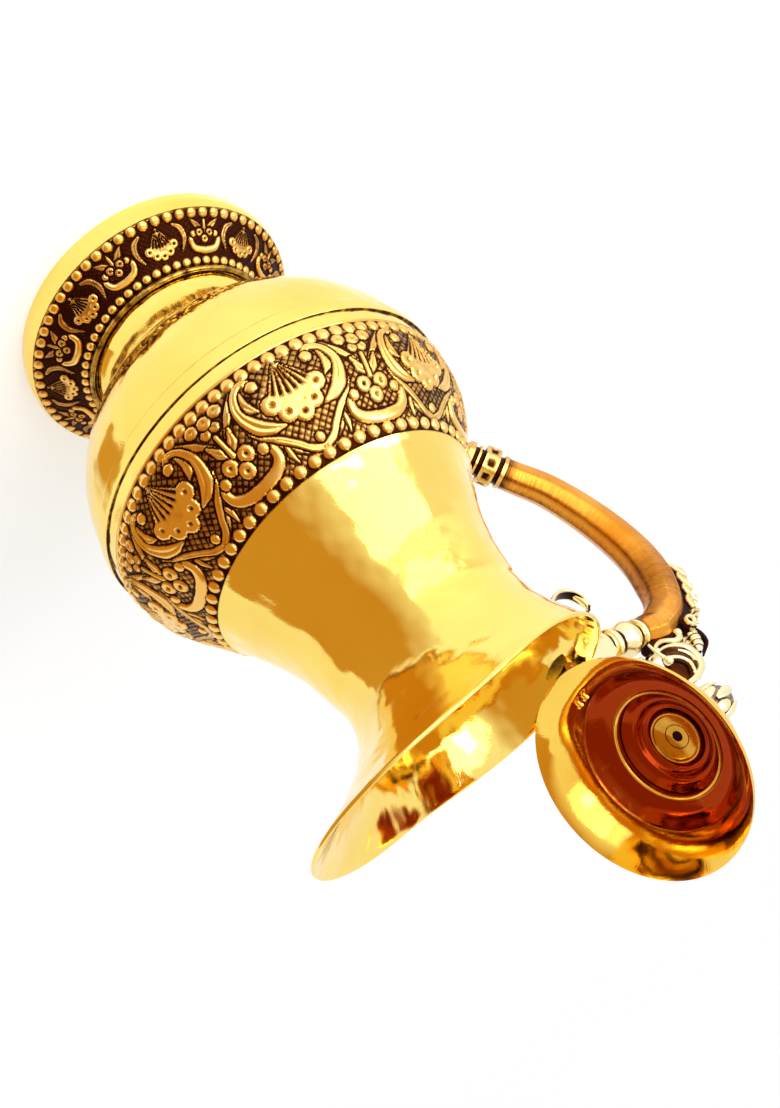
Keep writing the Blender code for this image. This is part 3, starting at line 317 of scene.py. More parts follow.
def make_copy(name, node, material, sharp, eased=0.0):
    """A piece of the solid's own shape, with its edges eased where asked."""
    mesh = frame["nodes"][node].data.copy()
    mesh.name = name
    if eased:
        work = bmesh.new()
        work.from_mesh(mesh)
        bmesh.ops.remove_doubles(work, verts=work.verts, dist=1e-6)
        bmesh.ops.dissolve_limit(work, angle_limit=math.radians(1.0), verts=work.verts, edges=work.edges)
        work.to_mesh(mesh)
        work.free()
    store(mesh, "relief", np.ones(len(mesh.vertices)))
    made = dress(mesh, name, node, material, sharp)
    if eased:
        bevel = made.modifiers.new("eased", "BEVEL")
        bevel.width = eased * MM
        bevel.segments = 2
        bevel.limit_method = "ANGLE"
        bevel.angle_limit = math.radians(35.0)


# Relief

def dome(distance, radius):
    """Height of a round boss, from 0 at its edge to 1 at its middle."""
    return np.sqrt(np.clip(1 - (distance / np.maximum(radius, 1e-6)) ** 2, 0, 1))


def ridge(x, y, points, widths, grow=0.0):
    """Height of a tapered ridge along a line, with half widths spread along it."""
    line = curve(points, 6)
    half = spread(widths, len(line)) + grow
    best = np.zeros_like(x)
    for a, b, wide_a, wide_b in zip(line, line[1:], half, half[1:]):
        step = b - a
        share = np.clip(((x - a[0]) * step[0] + (y - a[1]) * step[1]) / (step @ step), 0, 1)
        away = np.hypot(x - a[0] - step[0] * share, y - a[1] - step[1] * share)
        best = np.maximum(best, dome(away, wide_a + (wide_b - wide_a) * share))
    return best


def net(x, y, size):
    """A pebbled ground of small scales with sunk lines between them."""
    a = np.abs(np.sin(math.pi * (x + y) / size))
    b = np.abs(np.sin(math.pi * (x - y) / size))
    return np.sqrt(np.minimum(a, b))


class Chasing:
    """Motifs that stand out of a sunk ground, in millimetres along and across a band."""

    def __init__(self, x, y, outline=0.55):
        self.x, self.y, self.outline = x, y, outline
        self.high = np.zeros_like(x)
        self.taken = np.zeros(x.shape, bool)

    def lay(self, height, inside, around):
        """Lays a motif over what is there, with a sunk outline round it."""
        self.high = np.where(around, np.where(inside, np.maximum(height, LEAST), 0), self.high)
        self.taken = self.taken | around

    def line(self, points, widths, height=0.8, groove=0.0):
        """A tapered ridge, with a groove along it where asked."""
        body = ridge(self.x, self.y, points, widths)
        around = ridge(self.x, self.y, points, widths, self.outline) > 0
        raised = height * (LINE_EDGE + (1 - LINE_EDGE) * body)
        if groove:
            raised = raised - groove * ridge(self.x, self.y, points, [w * GROOVE for w in widths])
        self.lay(raised, body > 0, around)

    def boss(self, x, y, radius, height=0.9, dimple=0.0):
        """A round boss, with a dimple at its middle where asked."""
        away = np.hypot(self.x - x, self.y - y)
        raised = height * (BOSS_EDGE + (1 - BOSS_EDGE) * dome(away, radius))
        raised = raised - dimple * dome(away, radius * DIMPLE)
        self.lay(raised, away < radius, away < radius + self.outline)

    def palmette(self, apex, reach, spread_angle, lobes, lobe_radius, rays):
        """A grooved fan below a scalloped head with a dimple in each lobe."""
        rho = np.hypot(self.x, self.y - apex)
        angle = np.arctan2(self.x, self.y - apex)
        away = np.full_like(rho, np.inf)
        dimples, bumps = np.zeros_like(rho), np.zeros_like(rho)
        for turn, share in lobes:
            lobe = np.hypot(self.x - math.sin(turn) * reach * share,
                            self.y - apex - math.cos(turn) * reach * share)
            away = np.minimum(away, lobe - lobe_radius)
            dimples = np.maximum(dimples, dome(lobe, lobe_radius * DIMPLE))
            bumps = np.maximum(bumps, dome(lobe, lobe_radius))
        past_side = np.clip(np.abs(angle) - spread_angle, -1.5, 1.5)
        edge = np.minimum(away, np.maximum(rho - reach * 1.15, rho * np.sin(past_side)))
        groove = 0.5 - 0.5 * np.cos(angle * math.tau * rays / (2 * spread_angle))
        groove = ease(groove, 0.3, 0.3) * ease(-rho, -0.92 * reach, 0.12 * reach)
        groove = groove * (away > -0.4 * lobe_radius)
        head = 0.62 + 0.36 * bumps - 0.56 * groove - 0.8 * dimples
        self.lay(head, edge < 0, edge < self.outline)

    def result(self, ground):
        """The finished heights, with the ground where no motif or outline lies."""
        return np.where(self.taken, np.clip(self.high, 0, 1), GROUND * ground)


# Lobes of a palmette's head, as angles and shares of its reach
BELLY_LOBES = ((0.0, 1.36), (0.27, 1.24), (-0.27, 1.24), (0.56, 1.04), (-0.56, 1.04))
FOOT_LOBES = ((0.0, 1.25), (0.3, 1.2), (-0.3, 1.2), (0.62, 1.08), (-0.62, 1.08))


def belly_cell(x, y, half):
    """Half a repeat of the belly's band: x from its palmette, y above the beads."""
    chased = Chasing(x, y)
    # Vine from the ball at the top down to the leaf, with a sprout
    chased.line([(11.5, 26), (9.0, 30.4), (6.0, 33.2)], [0.5, 1.1, 0.3], 0.6)
    chased.line([(11.6, 26), (12.0, 30.2), (11.4, 33.6)], [0.5, 1.1, 0.3], 0.6)
    chased.line([(0, 34.0), (4.4, 32.4), (8.2, 28.6), (11.8, 25.0), (15.4, 22.2), (18.6, 17.6)],
                [1.2, 1.25, 1.2, 1.2, 1.0, 0.4], 0.7, 0.25)
    chased.boss(0, 30.6, 1.8)
    # Stem from the leaf to the trefoil, with shells above the beads
    chased.line([(16.0, 3.4), (19.8, 8.0), (24.4, 13.0)], [0.6, 1.3, 0.5], 0.65, 0.2)
    chased.line([(half, 18), (half - 2.6, 15.6), (half - 4.4, 11.6)], [1.0, 1.7, 0.4], 0.75, 0.3)
    chased.line([(half, 19), (half, 11.0)], [0.9, 0.7], 0.8)
    chased.boss(half - 1.8, 8.2, 1.7, 0.7, 0.3)
    chased.boss(half, 4.8, 2.3, 0.75, 0.35)
    chased.boss(half - 4.7, 4.0, 2.2, 0.75, 0.35)
    # Acanthus leaf with its curl
    chased.line([(13.6, 3.4), (15.0, 7.5), (14.2, 11), (12.2, 13.6)], [0.8, 1.7, 1.6, 0.3], 0.75, 0.3)
    chased.line([(9.4, 4.6), (11.8, 2.6), (15.2, 4.6), (17.3, 9), (17.2, 13), (15.2, 17.5), (11.8, 20.4),
                 (7.4, 21.9)], [1.2, 1.0, 1.1, 1.4, 1.8, 2.5, 1.9, 0.3], 0.85, 0.35)
    chased.boss(9.5, 5.8, 1.9)
    # Scroll over the trefoil
    chased.line([(18.4, 23.2), (15.8, 25.4), (16.2, 29.0), (20.0, 31.6), (half, 32.6)],
                [1.2, 1.5, 1.9, 2.1, 2.2], 1.0)
    chased.boss(18.2, 23.4, 1.9)
    chased.boss(half - 3.5, 21.0, 2.8, 0.85, 0.7)
    chased.boss(half, 25.2, 2.8, 0.85, 0.7)
    chased.palmette(1.8, 14.4, 0.62, BELLY_LOBES, 3.2, 6)
    return chased.result(net(x, y, BAND_NET))


def foot_cell(x, y, half):
    """Half a repeat of the foot's band: x from its palmette, y above the beads."""
    chased = Chasing(x, y)
    chased.line([(6.6, 3.0), (9.2, 4.8), (10.2, 8.6), (8.4, 13.2)], [0.6, 1.2, 1.1, 0.3], 0.75, 0.3)
    chased.line([(half - 1.0, 6.0), (half - 3.4, 4.4), (half - 5.4, 2.4)], [0.6, 1.3, 0.3], 0.75, 0.25)
    chased.line([(half, 6.6), (half, 2.4)], [0.9, 0.4], 0.75)
    chased.line([(half - 5.0, 7.6), (half - 6.4, 9.8), (half - 4.8, 12.8), (half, 13.8)],
                [0.9, 1.1, 1.4, 1.5], 1.0)
    chased.boss(half - 4.9, 7.6, 1.3)
    chased.boss(half - 2.2, 7.3, 1.6, 0.8, 0.6)
    chased.boss(half, 9.6, 1.6, 0.8, 0.6)
    chased.palmette(2.2, 8.4, 0.66, FOOT_LOBES, 1.8, 7)
    return chased.result(net(x, y, FOOT_NET))


def beads(turn, y, row, count, radius, sheet_radius):
    """A row of round beads along a band, as heights from 0 to 1."""
    step = math.tau / count
    x = ((turn + step / 2) % step - step / 2) * sheet_radius
    return dome(np.hypot(x, y - row), radius)


def repeated(turn, start, repeat, repeats):
    """Distance in angle from the nearest motif. What is left past the last repeat mirrors its neighbours."""
    first = start - (repeats // 2 + 0.5) * repeat
    along = (turn - first) % math.tau
    past = along - repeats * repeat
    mirrored = repeat / 2 - np.minimum(past, math.tau - along)
    return np.where(past > 0, mirrored, along % repeat - repeat / 2)


class Band(NamedTuple):
    """A band of repeated motifs between two rows of beads."""

    cell: Callable        # heights of half a repeat
    start: float          # azimuth of a palmette, from the pouring lip
    repeat: float         # angle of a repeat
    repeats: int
    radius: float         # where the motifs have their true width
    width: float          # from bead row to bead row
    low_beads: tuple      # number and radius
    high_beads: tuple
    bead_height: float
    columns: int          # points round the sheet

    def relief(self, line, rise):
        """The rise of each point of a sheet above the lower bead row, spread round it, and its height."""
        turn = circle(self.columns)[None, :]
        y = rise[:, None] + 0 * turn
        angle = repeated(turn + 0 * y, self.start, self.repeat, self.repeats)
        beaded = np.maximum(beads(turn, y, 0.0, *self.low_beads, line[:, :1]),
                            beads(turn, y, self.width, *self.high_beads, line[:, :1]))
        field = ease(y, FIELD_START, FIELD_EASE) * ease(self.width - y, FIELD_START, FIELD_EASE)
        motifs = self.cell(np.abs(angle) * self.radius, y, self.repeat / 2 * self.radius)
        return y, np.maximum(motifs * field * (beaded == 0), self.bead_height * beaded)


BELLY_BAND = Band(belly_cell, start=math.radians(-12.0), repeat=math.radians(48.0), repeats=7, radius=64.0,
                  width=36.4, low_beads=(84, 2.35), high_beads=(60, 2.3), bead_height=1.15, columns=960)
FOOT_BAND = Band(foot_cell, start=math.radians(-67.5), repeat=math.tau / 8, repeats=8, radius=49.0,
                 width=17.4, low_beads=(68, 2.2), high_beads=(60, 1.95), bead_height=1.1, columns=720)


def make_embossed(name, node, material, outer, inner, height, values):
    """A sheet with relief on its outside."""
    columns = height.shape[1]
    rings = [turned(outer, columns, (height - RELIEF_BASE) * RELIEF), turned(inner, columns)]
    values = np.vstack([values, np.ones((len(inner), columns))])
    make_piece(name, node, material, np.concatenate(rings), values=values, sharp=80)


# Materials

class Nodes:
    """Adds nodes to a material or a world."""

    def __init__(self, owner):
        owner.use_nodes = True
        self.tree = owner.node_tree

    def add(self, kind, inputs=(), output=0, **settings):
        """One output of a new node with its settings, and its inputs as (socket, value or link) pairs."""
        made = self.tree.nodes.new(kind)
        for key, value in settings.items():
            setattr(made, key, value)
        for socket, value in inputs:
            self.put(made.inputs[socket], value)
        return made.outputs[output]

    def put(self, socket, value):
        """Sets a socket, or links it to another."""
        if isinstance(value, bpy.types.NodeSocket):
            self.tree.links.new(value, socket)
        else:
            socket.default_value = value

    def finish(self, node, inputs):
        """Sets or links inputs of a node that is there from the start."""
        for socket, value in inputs:
            self.put(self.tree.nodes[node].inputs[socket], value)

    def ramp(self, fac, stops):
        """A colour ramp through two (place, colour) stops."""
        made = self.add("ShaderNodeValToRGB", [("Fac", fac)])
        for element, (place, colour) in zip(made.node.color_ramp.elements, stops, strict=True):
            element.position = place
            element.color = (*colour, 1.0)
        return made

    def span(self, value, low, high, out_low, out_high):
        """A value moved from one span to another."""
        return self.add("ShaderNodeMapRange", [("Value", value), ("From Min", low), ("From Max", high),
                                               ("To Min", out_low), ("To Max", out_high)])

    def blend(self, fac, low, high):
        """A colour between two others, through the colour sockets of a mix node."""
        return self.add("ShaderNodeMix", [(0, fac), (6, low), (7, high)], output=2, data_type="RGBA")

    def maths(self, operation, first, second):
        """Two values put together."""
        return self.add("ShaderNodeMath", [(0, first), (1, second)], operation=operation)

    def stored(self, key):
        """A value that the mesh keeps at its points."""
        return self.add("ShaderNodeAttribute", output="Fac", attribute_name=key)

    def coordinates(self):
        """The object's own coordinates."""
        return self.add("ShaderNodeTexCoord", output="Object")

    def noise(self, scale, detail, vector=None):
        """Noise on the object's own coordinates, or on the given vector."""
        if vector is None:
            vector = self.coordinates()
        return self.add("ShaderNodeTexNoise", [("Vector", vector), ("Scale", scale), ("Detail", detail)])

    def bump(self, strength, distance, height, *normal):
        """A normal bent by heights, on top of another where given."""
        sockets = ("Strength", "Distance", "Height", "Normal")
        return self.add("ShaderNodeBump", zip(sockets, (strength, distance, height, *normal)))

    def seen_directly(self):
        """1 for what the camera, a mirror or glass shows, and 0 for light on the object."""
        rays = ("Is Camera Ray", "Is Glossy Ray", "Is Transmission Ray")
        camera, mirror, glass = [self.add("ShaderNodeLightPath", output=ray) for ray in rays]
        return self.maths("MAXIMUM", self.maths("MAXIMUM", camera, mirror), glass)


def grey(value):
    """A neutral colour."""
    return (value, value, value)


# Noise in the brass: scales per metre, depths in metres, and the stretch of a noise's values that is used
CLOUDS, GRIME, POLISH, WAVES, GRAIN = 26.0, 340.0, 60.0, 48.0, 1500.0
WAVE_DEPTH, FILE_DEPTH, GRAIN_DEPTH = 0.004, 0.0006, 0.0004
FILE_STRENGTH, GRAIN_STRENGTH = 0.5, 0.06
NOISE_SPAN = (0.3, 0.7)
GRIME_REACH = 0.09
FILE_MARKS, FILE_ACROSS = 2.2, 170.0      # scale of the file marks along the grip, and their stretch across
# The thin stain's colour also serves as light painted shade on the grip and in the lid.
STAIN_AND_SHADE = (0.45, 0.26, 0.16)     # how a thin stain changes the metal's red, green and blue


def brass(name, bright, deep, roughness, waves, patina, low=0.14, high=0.5, dull=0.45, filed=0.0):
    """Brass with cloudy colour, uneven polish, dark patina where the relief value is low, and file marks; on some
    pieces that value also carries painted shade and painted highlights.
    """
    material = bpy.data.materials.new(name)
    nodes = Nodes(material)
    metal = nodes.ramp(nodes.noise(CLOUDS, 3.0), list(zip(NOISE_SPAN, (deep, bright))))
    grime = nodes.span(nodes.noise(GRIME, 3.0), *NOISE_SPAN, -GRIME_REACH, GRIME_REACH)
    level = nodes.maths("ADD", nodes.stored("relief"), grime)
    normal = nodes.bump(waves, WAVE_DEPTH, nodes.noise(WAVES, 2.0))
    if filed:
        side = nodes.add("ShaderNodeSeparateXYZ", [(0, nodes.coordinates())], output="Y")
        across = nodes.span(side, 0.0, 1.0, 0.0, FILE_ACROSS)
        place = nodes.add("ShaderNodeCombineXYZ", [("X", nodes.stored("along")), ("Y", across)])
        marks = nodes.noise(FILE_MARKS, 3.0, place)
        level = nodes.maths("ADD", level, nodes.span(marks, *NOISE_SPAN, -filed, filed))
        normal = nodes.bump(FILE_STRENGTH, FILE_DEPTH, marks, normal)
    clean = nodes.span(level, low, high, 0.0, 1.0)
    middle = tuple(part * share for part, share in zip(deep, STAIN_AND_SHADE))
    stain = nodes.ramp(clean, [(0.0, patina), (0.6, middle)])
    polish = nodes.span(nodes.noise(POLISH, 4.0), *NOISE_SPAN, roughness * 0.8, roughness * 1.3)
    rough = nodes.maths("MAXIMUM", nodes.span(clean, 0.0, 1.0, dull, 0.0), polish)
    normal = nodes.bump(GRAIN_STRENGTH, GRAIN_DEPTH, nodes.noise(GRAIN, 2.0), normal)
    nodes.finish("Principled BSDF", [("Metallic", 1.0), ("Base Color", nodes.blend(clean, stain, metal)),
                                     ("Roughness", rough), ("Normal", normal)])
    return material


PATINA = (0.035, 0.007, 0.002)
BLACK_PATINA_AND_SHADE = (0.024, 0.005, 0.005)
GRIP_PATINA_AND_SHADE = (0.06, 0.012, 0.002)
RED_PATINA_AND_SHADE = (0.33, 0.034, 0.004)
POLISHED = brass("polished_brass", (1.0, 0.77, 0.20), (0.96, 0.66, 0.13), 0.08, 0.42, PATINA, dull=0.25)
EMBOSSED = brass("embossed_brass", (0.98, 0.66, 0.20), (0.88, 0.48, 0.10), 0.16, 0.10, PATINA, 0.17, 0.66)
FOOT = brass("foot_brass", (0.96, 0.62, 0.17), (0.82, 0.40, 0.07), 0.16, 0.10, PATINA, 0.38, 0.98)
CAST = brass("cast_brass", (0.98, 0.88, 0.57), (0.90, 0.72, 0.35), 0.2, 0.05, BLACK_PATINA_AND_SHADE, 0.14, 0.55)
GRIP = brass("filed_brass", (0.90, 0.46, 0.07), (0.72, 0.23, 0.010), 0.2, 0.10, GRIP_PATINA_AND_SHADE, 0.0, 0.9, 0.3,
             filed=0.22)
LID = brass("lid_brass", (1.0, 0.68, 0.11), (0.92, 0.51, 0.06), 0.08, 0.14, RED_PATINA_AND_SHADE, 0.05, 0.95, 0.02)


# Body

SEAM_GAP = 0.2            # from the seam to the edge of each sheet
BAND_TOP_Z = 137.6        # where the embossed band ends and the neck begins
NECK_SWELL, NECK_SWELL_HEIGHT = 0.55, 1.1      # where the neck meets the band
FOOT_INSIDE = (52.0, 8.4)          # where the cone and the rim meet under the foot
SHOULDER = curve([(BELLY_RADIUS, BELLY_Z), (67.4, 114.0), (52.6, 138.0), (41.5, 162.0),
                  (NECK_RADIUS, NECK_Z)], 24)


def make_band():
    """The embossed band between the seam and the neck, and the polished strip below its beads."""
    top_radius = np.interp(BAND_TOP_Z, SHOULDER[:, 1], SHOULDER[:, 0])
    outer = even(np.vstack([[(BELLY_RADIUS, SEAM_Z + SEAM_GAP)], SHOULDER[SHOULDER[:, 1] < BAND_TOP_Z],
                            [(top_radius, BAND_TOP_Z)]]), 124)
    steps = distances(outer)
    y, height = BELLY_BAND.relief(outer, steps - np.interp(BELLY_Z, outer[:, 1], steps) - BEAD_RISE)
    below, above = ease(-y, BEAD_SIDE, BEAD_EASE), ease(y - BELLY_BAND.width, BEAD_SIDE, BEAD_EASE)
    values = np.maximum(height, np.maximum(below, 0.4 * above))
    height = np.maximum(height, RELIEF_BASE * np.maximum(below, above))
    make_embossed("belly_band", "upper_body", EMBOSSED, outer, inward(outer, WALL)[::-12], height, values)
    edge = outer[y[:, 0] < -BEAD_SIDE - BEAD_EASE]
    strip = np.vstack([edge + [0.12, 0.0], inward(edge, 0.5)[::-1]])
    make_piece("belly_edge", "upper_body", POLISHED, turned(strip, SHEET_COLUMNS))


def make_neck():
    """The polished neck, flared mouth and pouring lip, with a rolled edge."""
    turn = circle(NECK_COLUMNS)[None, :]
    facing = (1 + np.cos(turn)) / 2
    rim_radius = RIM_RADIUS + LIP_REACH * facing ** LIP_NARROWNESS
    rim_z = RIM_Z + LIP_RISE * facing ** LIP_SWEEP
    neck = even(SHOULDER[SHOULDER[:, 1] > BAND_TOP_Z], 44)
    neck[:, 0] += NECK_SWELL * hump(neck[:, 1], BAND_TOP_Z, NECK_SWELL_HEIGHT)
    share = np.linspace(0, 1, 45)[1:, None]
    radius = np.vstack([neck[:, :1] + 0 * turn, NECK_RADIUS + (rim_radius - NECK_RADIUS) * share ** 2])
    level = np.vstack([neck[:, 1:] + 0 * turn, NECK_Z + (rim_z - NECK_Z) * share])
    run, rise = np.gradient(radius, axis=0), np.gradient(level, axis=0)
    length = np.hypot(run, rise)
    run, rise = run / length, rise / length
    inner_radius, inner_level = radius - rise * WALL, level + run * WALL
    half = WALL / 2
    edge_radius, edge_level = [], []
    for angle in np.radians([30.0, 60.0, 90.0, 120.0, 150.0]):
        out, up = math.cos(angle) * half - half, math.sin(angle) * half
        edge_radius.append(radius[-1] + rise[-1] * out + run[-1] * up)
        edge_level.append(level[-1] - run[-1] * out + rise[-1] * up)
    radius = np.vstack([radius, edge_radius, inner_radius[::-2]])
    level = np.vstack([level, edge_level, inner_level[::-2]])
    rings = np.stack([radius * np.cos(turn), radius * np.sin(turn), level], axis=-1)
    make_piece("neck_and_lip", "upper_body", POLISHED, rings,
               values=np.maximum(ease(level, BAND_TOP_Z, 1.2), 0.12))


def make_bowl():
    """The polished lower bowl and the raised band over its seam."""
    z = np.linspace(BOWL_Z, SEAM_Z - SEAM_GAP, 90)
    share = ease(-z, -BELLY_Z, BELLY_Z - BOWL_Z)
    radius = BELLY_RADIUS + (BOWL_SEAT_RADIUS - BELLY_RADIUS) * share ** BOWL_FULLNESS
    outer = np.stack([radius, z], axis=1)
    inner = inward(outer, WALL)[::-6]
    floor_z = BOWL_Z + WALL
    inner[:, 1] = np.maximum(inner[:, 1], floor_z)
    outline = np.vstack([[(0.0, BOWL_Z)], outer, inner, [(0.0, floor_z)]])
    low, high = SEAM_Z - SEAM_HEIGHT / 2, SEAM_Z + SEAM_HEIGHT / 2
    dark_ends = ease(outline[:, 1] - BOWL_Z, 0.5, 2.2) * (1 - hump(outline[:, 1], low - 0.7, 0.5))
    values = np.where(np.arange(len(outline)) <= len(outer), dark_ends, 1.0)[:, None]
    make_piece("lower_bowl_sheet", "lower_bowl", POLISHED, turned(outline, SHEET_COLUMNS),
               loop=False, values=values)

    inside = BELLY_RADIUS + 0.05
    arch = np.linspace(0, math.pi, 25)
    outline = np.stack([inside + SEAM_PROUD * np.sin(arch) ** 0.2,
                        low + (high - low) * (1 - np.cos(arch)) / 2], axis=1)
    band = np.vstack([outline, [(inside - 0.3, high), (inside - 0.3, low)]])
    edge = np.minimum(band[:, 1] - low, high - band[:, 1])
    make_piece("seam_band_trim", "seam_band", POLISHED, turned(band, SHEET_COLUMNS),
               values=np.clip(0.12 + edge / 0.4, 0.0, 1.0)[:, None])


def make_foot():
    """The spread foot with its beads and embossing, its polished rim, the ring above it and the stem."""
    cone = even([(FOOT_RADIUS - 0.2, FOOT_RIM_Z + 0.1), (FLARE_TOP_RADIUS, FLARE_TOP_Z)], 70)
    y, height = FOOT_BAND.relief(cone, np.linalg.norm(cone - cone[0], axis=1) - FOOT_BEAD_RISE)
    height = np.maximum(height, RELIEF_BASE * ease(y - FOOT_BAND.width, 2.1, 0.4))
    inside = np.array([(FLARE_TOP_RADIUS, FLARE_TOP_Z - 1.6), (45.0, 14.6), FOOT_INSIDE])
    make_embossed("foot_sheet", "foot_flare", FOOT, cone, inside, height, height)

    rim = curve([(FOOT_RADIUS, 0.0), (FOOT_RADIUS + 0.8, 5.4), (FOOT_RADIUS, FOOT_RIM_Z)], 8)
    outline = np.vstack([rim, [(FOOT_RADIUS - 0.6, FOOT_RIM_Z + 0.2), FOOT_INSIDE, (52.6, 5.4), (52.6, 0.0)]])
    make_piece("foot_rim", "foot_flare", POLISHED, turned(outline, SHEET_COLUMNS),
               values=np.clip((FOOT_RIM_Z - outline[:, 1]) / 0.6, 0.2, 1.0)[:, None])

    ring = [(FLARE_TOP_RADIUS + 1.0 + math.cos(a), FLARE_TOP_Z + 1.3 + math.sin(a)) for a in circle(14)]
    make_piece("stem_ring_wire", "stem_ring", POLISHED, turned(ring, STEM_COLUMNS),
               values=0.22)

    stem_low, stem_top = FLARE_TOP_Z - WALL, BOWL_Z - 0.3
    stem = curve([(STEM_RADIUS + STEM_SPREAD, stem_low), (STEM_RADIUS + STEM_SPREAD * 0.6, FLARE_TOP_Z + 2.6),
                  (STEM_RADIUS, stem_low + 9.3), (BOWL_SEAT_RADIUS, stem_top)], 12)
    edge = np.minimum(stem[:, 1] - FLARE_TOP_Z - 1.0, stem_top - stem[:, 1])
    outline = np.vstack([stem, (stem - [WALL, 0])[::-1]])
    make_piece("stem_sheet", "stem_collar", POLISHED, turned(outline, STEM_COLUMNS),
               values=np.r_[ease(edge, 0.0, 1.4), np.ones(len(stem))][:, None])


# Handle

def grip_line(count):
    """The grip's centre line, as in the solids."""
    low = FERRULE_START + FERRULE_OUT * (FERRULE_LENGTH + 0.3)
    high = np.array([-93.3, ARM_Z])
    reach = 122.5
    height = high[1] - low[1]
    out_low, out_high = reach + low[0], reach + high[0]
    bow = curve([low + FERRULE_OUT * 4.0, (low[0] - out_low * 0.54, low[1] + height * 0.17),
                 (low[0] - out_low * 0.88, low[1] + height * 0.39), (-reach, low[1] + height * 0.61),
                 (high[0] - out_high * 0.88, low[1] + height * 0.79),
                 (high[0] - out_high * 0.60, low[1] + height * 0.93), high - [4.0, 0.0]], 20)
    return even(np.vstack([low, bow, high]), count)


def grip_radius(share):
    """Half the grip's thickness along its length."""
    return np.interp(share, [0, 0.7, 1.0, 1.05], [6.2, 8.2, 6.2, 5.4])


def facets(per_side):
    """Section points of an eight-sided bar of radius one, with eased corners.

    Also how far each point lies from the middle of its side, from -1 to 1.
    """
    places = np.linspace(-1, 1, per_side, endpoint=False) + 1 / per_side
    across = places * math.tan(math.pi / SIDES)
    eased = 1 - 0.03 * np.abs(places) ** 8
    points = []
    for middle in circle(SIDES):
        points.append(np.stack([eased * (math.cos(middle) - across * math.sin(middle)),
                                eased * (math.sin(middle) + across * math.cos(middle))], axis=1))
    return np.vstack(points), np.tile(places, SIDES)


def make_grip():
    """The eight-sided cast grip, filed across, darker along its ridges, with painted shade under the leaf and on
    the sides that face the jug.
    """
    bow = grip_line(150)
    root = [(bow[-1, 0] + GRIP_ROOT * t, bow[-1, 1] - GRIP_DIP * t ** 2) for t in np.linspace(0, 1, 10)[1:]]
    line = np.vstack([bow, root])
    share = np.r_[np.linspace(0, 1, len(bow)), 1 + 0.05 * np.linspace(0, 1, len(root))]
    section, places = facets(8)
    sections = section[None] * grip_radius(share)[:, None, None]
    ends = np.clip(share / 0.04, 0.15, 1.0) * np.clip((share[-1] - share) / 0.02, 0.1, 1.0)
    # Painted shade: the grip is darker where the leaf lies over it.
    shade_under_leaf = 1 - 0.55 * hump(share, 0.72, 0.14)
    # Darker along the ridges between the sides.
    ridges = 1 - 0.45 * np.abs(places) ** 8
    # Painted shade on the side that faces the jug, darkest at its edges, and on the sides beside it, darkening
    # towards it.
    side = np.arange(len(places)) // (len(places) // SIDES)
    inner = np.minimum(0.12 + 0.8 * (1 - np.abs(places)), 0.8)
    turned_in = np.where(side < INNER_SIDE, 1 + places, 1 - places) / 2
    beside = np.where(np.abs(side - INNER_SIDE) == 1, 0.85 - 0.4 * turned_in, 0.95)
    shade = ridges * np.where(side == INNER_SIDE, inner, beside)
    along = share * distances(line)[-1]
    make_piece("grip", "handle_grip", GRIP, swept(line, sections), loop=False, sharp=30,
               values=(ends * shade_under_leaf)[:, None] * shade[None], along=along[:, None])


# Rings of the ferrule: radius, start and end along it, and brightness
FERRULE_RINGS = ((6.8, 0.04, 0.17, 0.5), (5.4, 0.19, 0.26, 0.0), (6.6, 0.28, 0.33, 0.6),
                 (5.4, 0.35, 0.42, 0.0), (7.8, 0.44, 0.78, 0.52), (5.5, 0.80, 0.89, 0.0),
                 (6.7, 0.91, 1.0, 0.5))
PANEL_START, PANEL_END, PANEL_WIDTH = 0.51, 0.72, 0.6


def make_ferrule():
    """The eight-sided ferrule with framed panels, on its elbow."""
    elbow = curve([(-64.4, 101.0), (-77.7, 101.9), FERRULE_START], 6)
    radii = list(np.linspace(6.0, 4.8, len(elbow)))
    shades = [0.5] * len(elbow)
    line, panel_rows = list(elbow), [False] * len(elbow)
    for radius, start, end, shade in FERRULE_RINGS:
        for share in np.linspace(start, end, 7):
            line.append(FERRULE_START + FERRULE_OUT * FERRULE_LENGTH * share)
            radii.append(radius)
            shades.append(shade)
            panel_rows.append(PANEL_START < share < PANEL_END)
    section, places = facets(8)
    panel = np.array(panel_rows)[:, None] * (np.abs(places) < PANEL_WIDTH)[None]
    sections = section[None] * np.array(radii)[:, None, None] * (1 - 0.06 * panel[:, :, None])
    make_piece("ferrule", "lower_ferrule", EMBOSSED, swept(line, sections), loop=False,
               values=np.array(shades)[:, None] * (1 - 0.72 * panel), sharp=25)


def make_arm():
    """The turned arm with its rings and bulb."""
    profile = [(39.8, 6.4), (44.0, 6.6), (46.0, 6.4), (47.5, 5.0), (62.8, 5.0)]
    for start in (62.8, 68.6):
        profile += [(start + 0.5, 5.1), (start + 0.9, 6.0), (start + 2.0, 6.3), (start + 3.0, 6.0),
                    (start + 3.6, 4.6), (start + 5.2, 4.4)]
    bulb_start, bulb_end = 74.4, 84.4
    for share in np.linspace(0.04, 0.96, 15):
        profile.append((bulb_start + (bulb_end - bulb_start) * share, 4.4 + 2.5 * math.sin(math.pi * share)))
    profile += [(84.8, 4.4), (85.2, 5.8), (86.0, 6.3), (86.8, 6.0), (87.2, 4.8), (92.6, 4.6)]
    profile = even(profile, 150)
    ring = turned(profile[:, ::-1], 64)
    rings = np.stack([-ring[..., 2], ring[..., 1], ARM_Z + ring[..., 0]], axis=-1)
    make_piece("arm", "upper_arm", CAST, rings, loop=False,
               values=ease(profile[:, 1], 4.5, 0.9)[:, None], sharp=50)


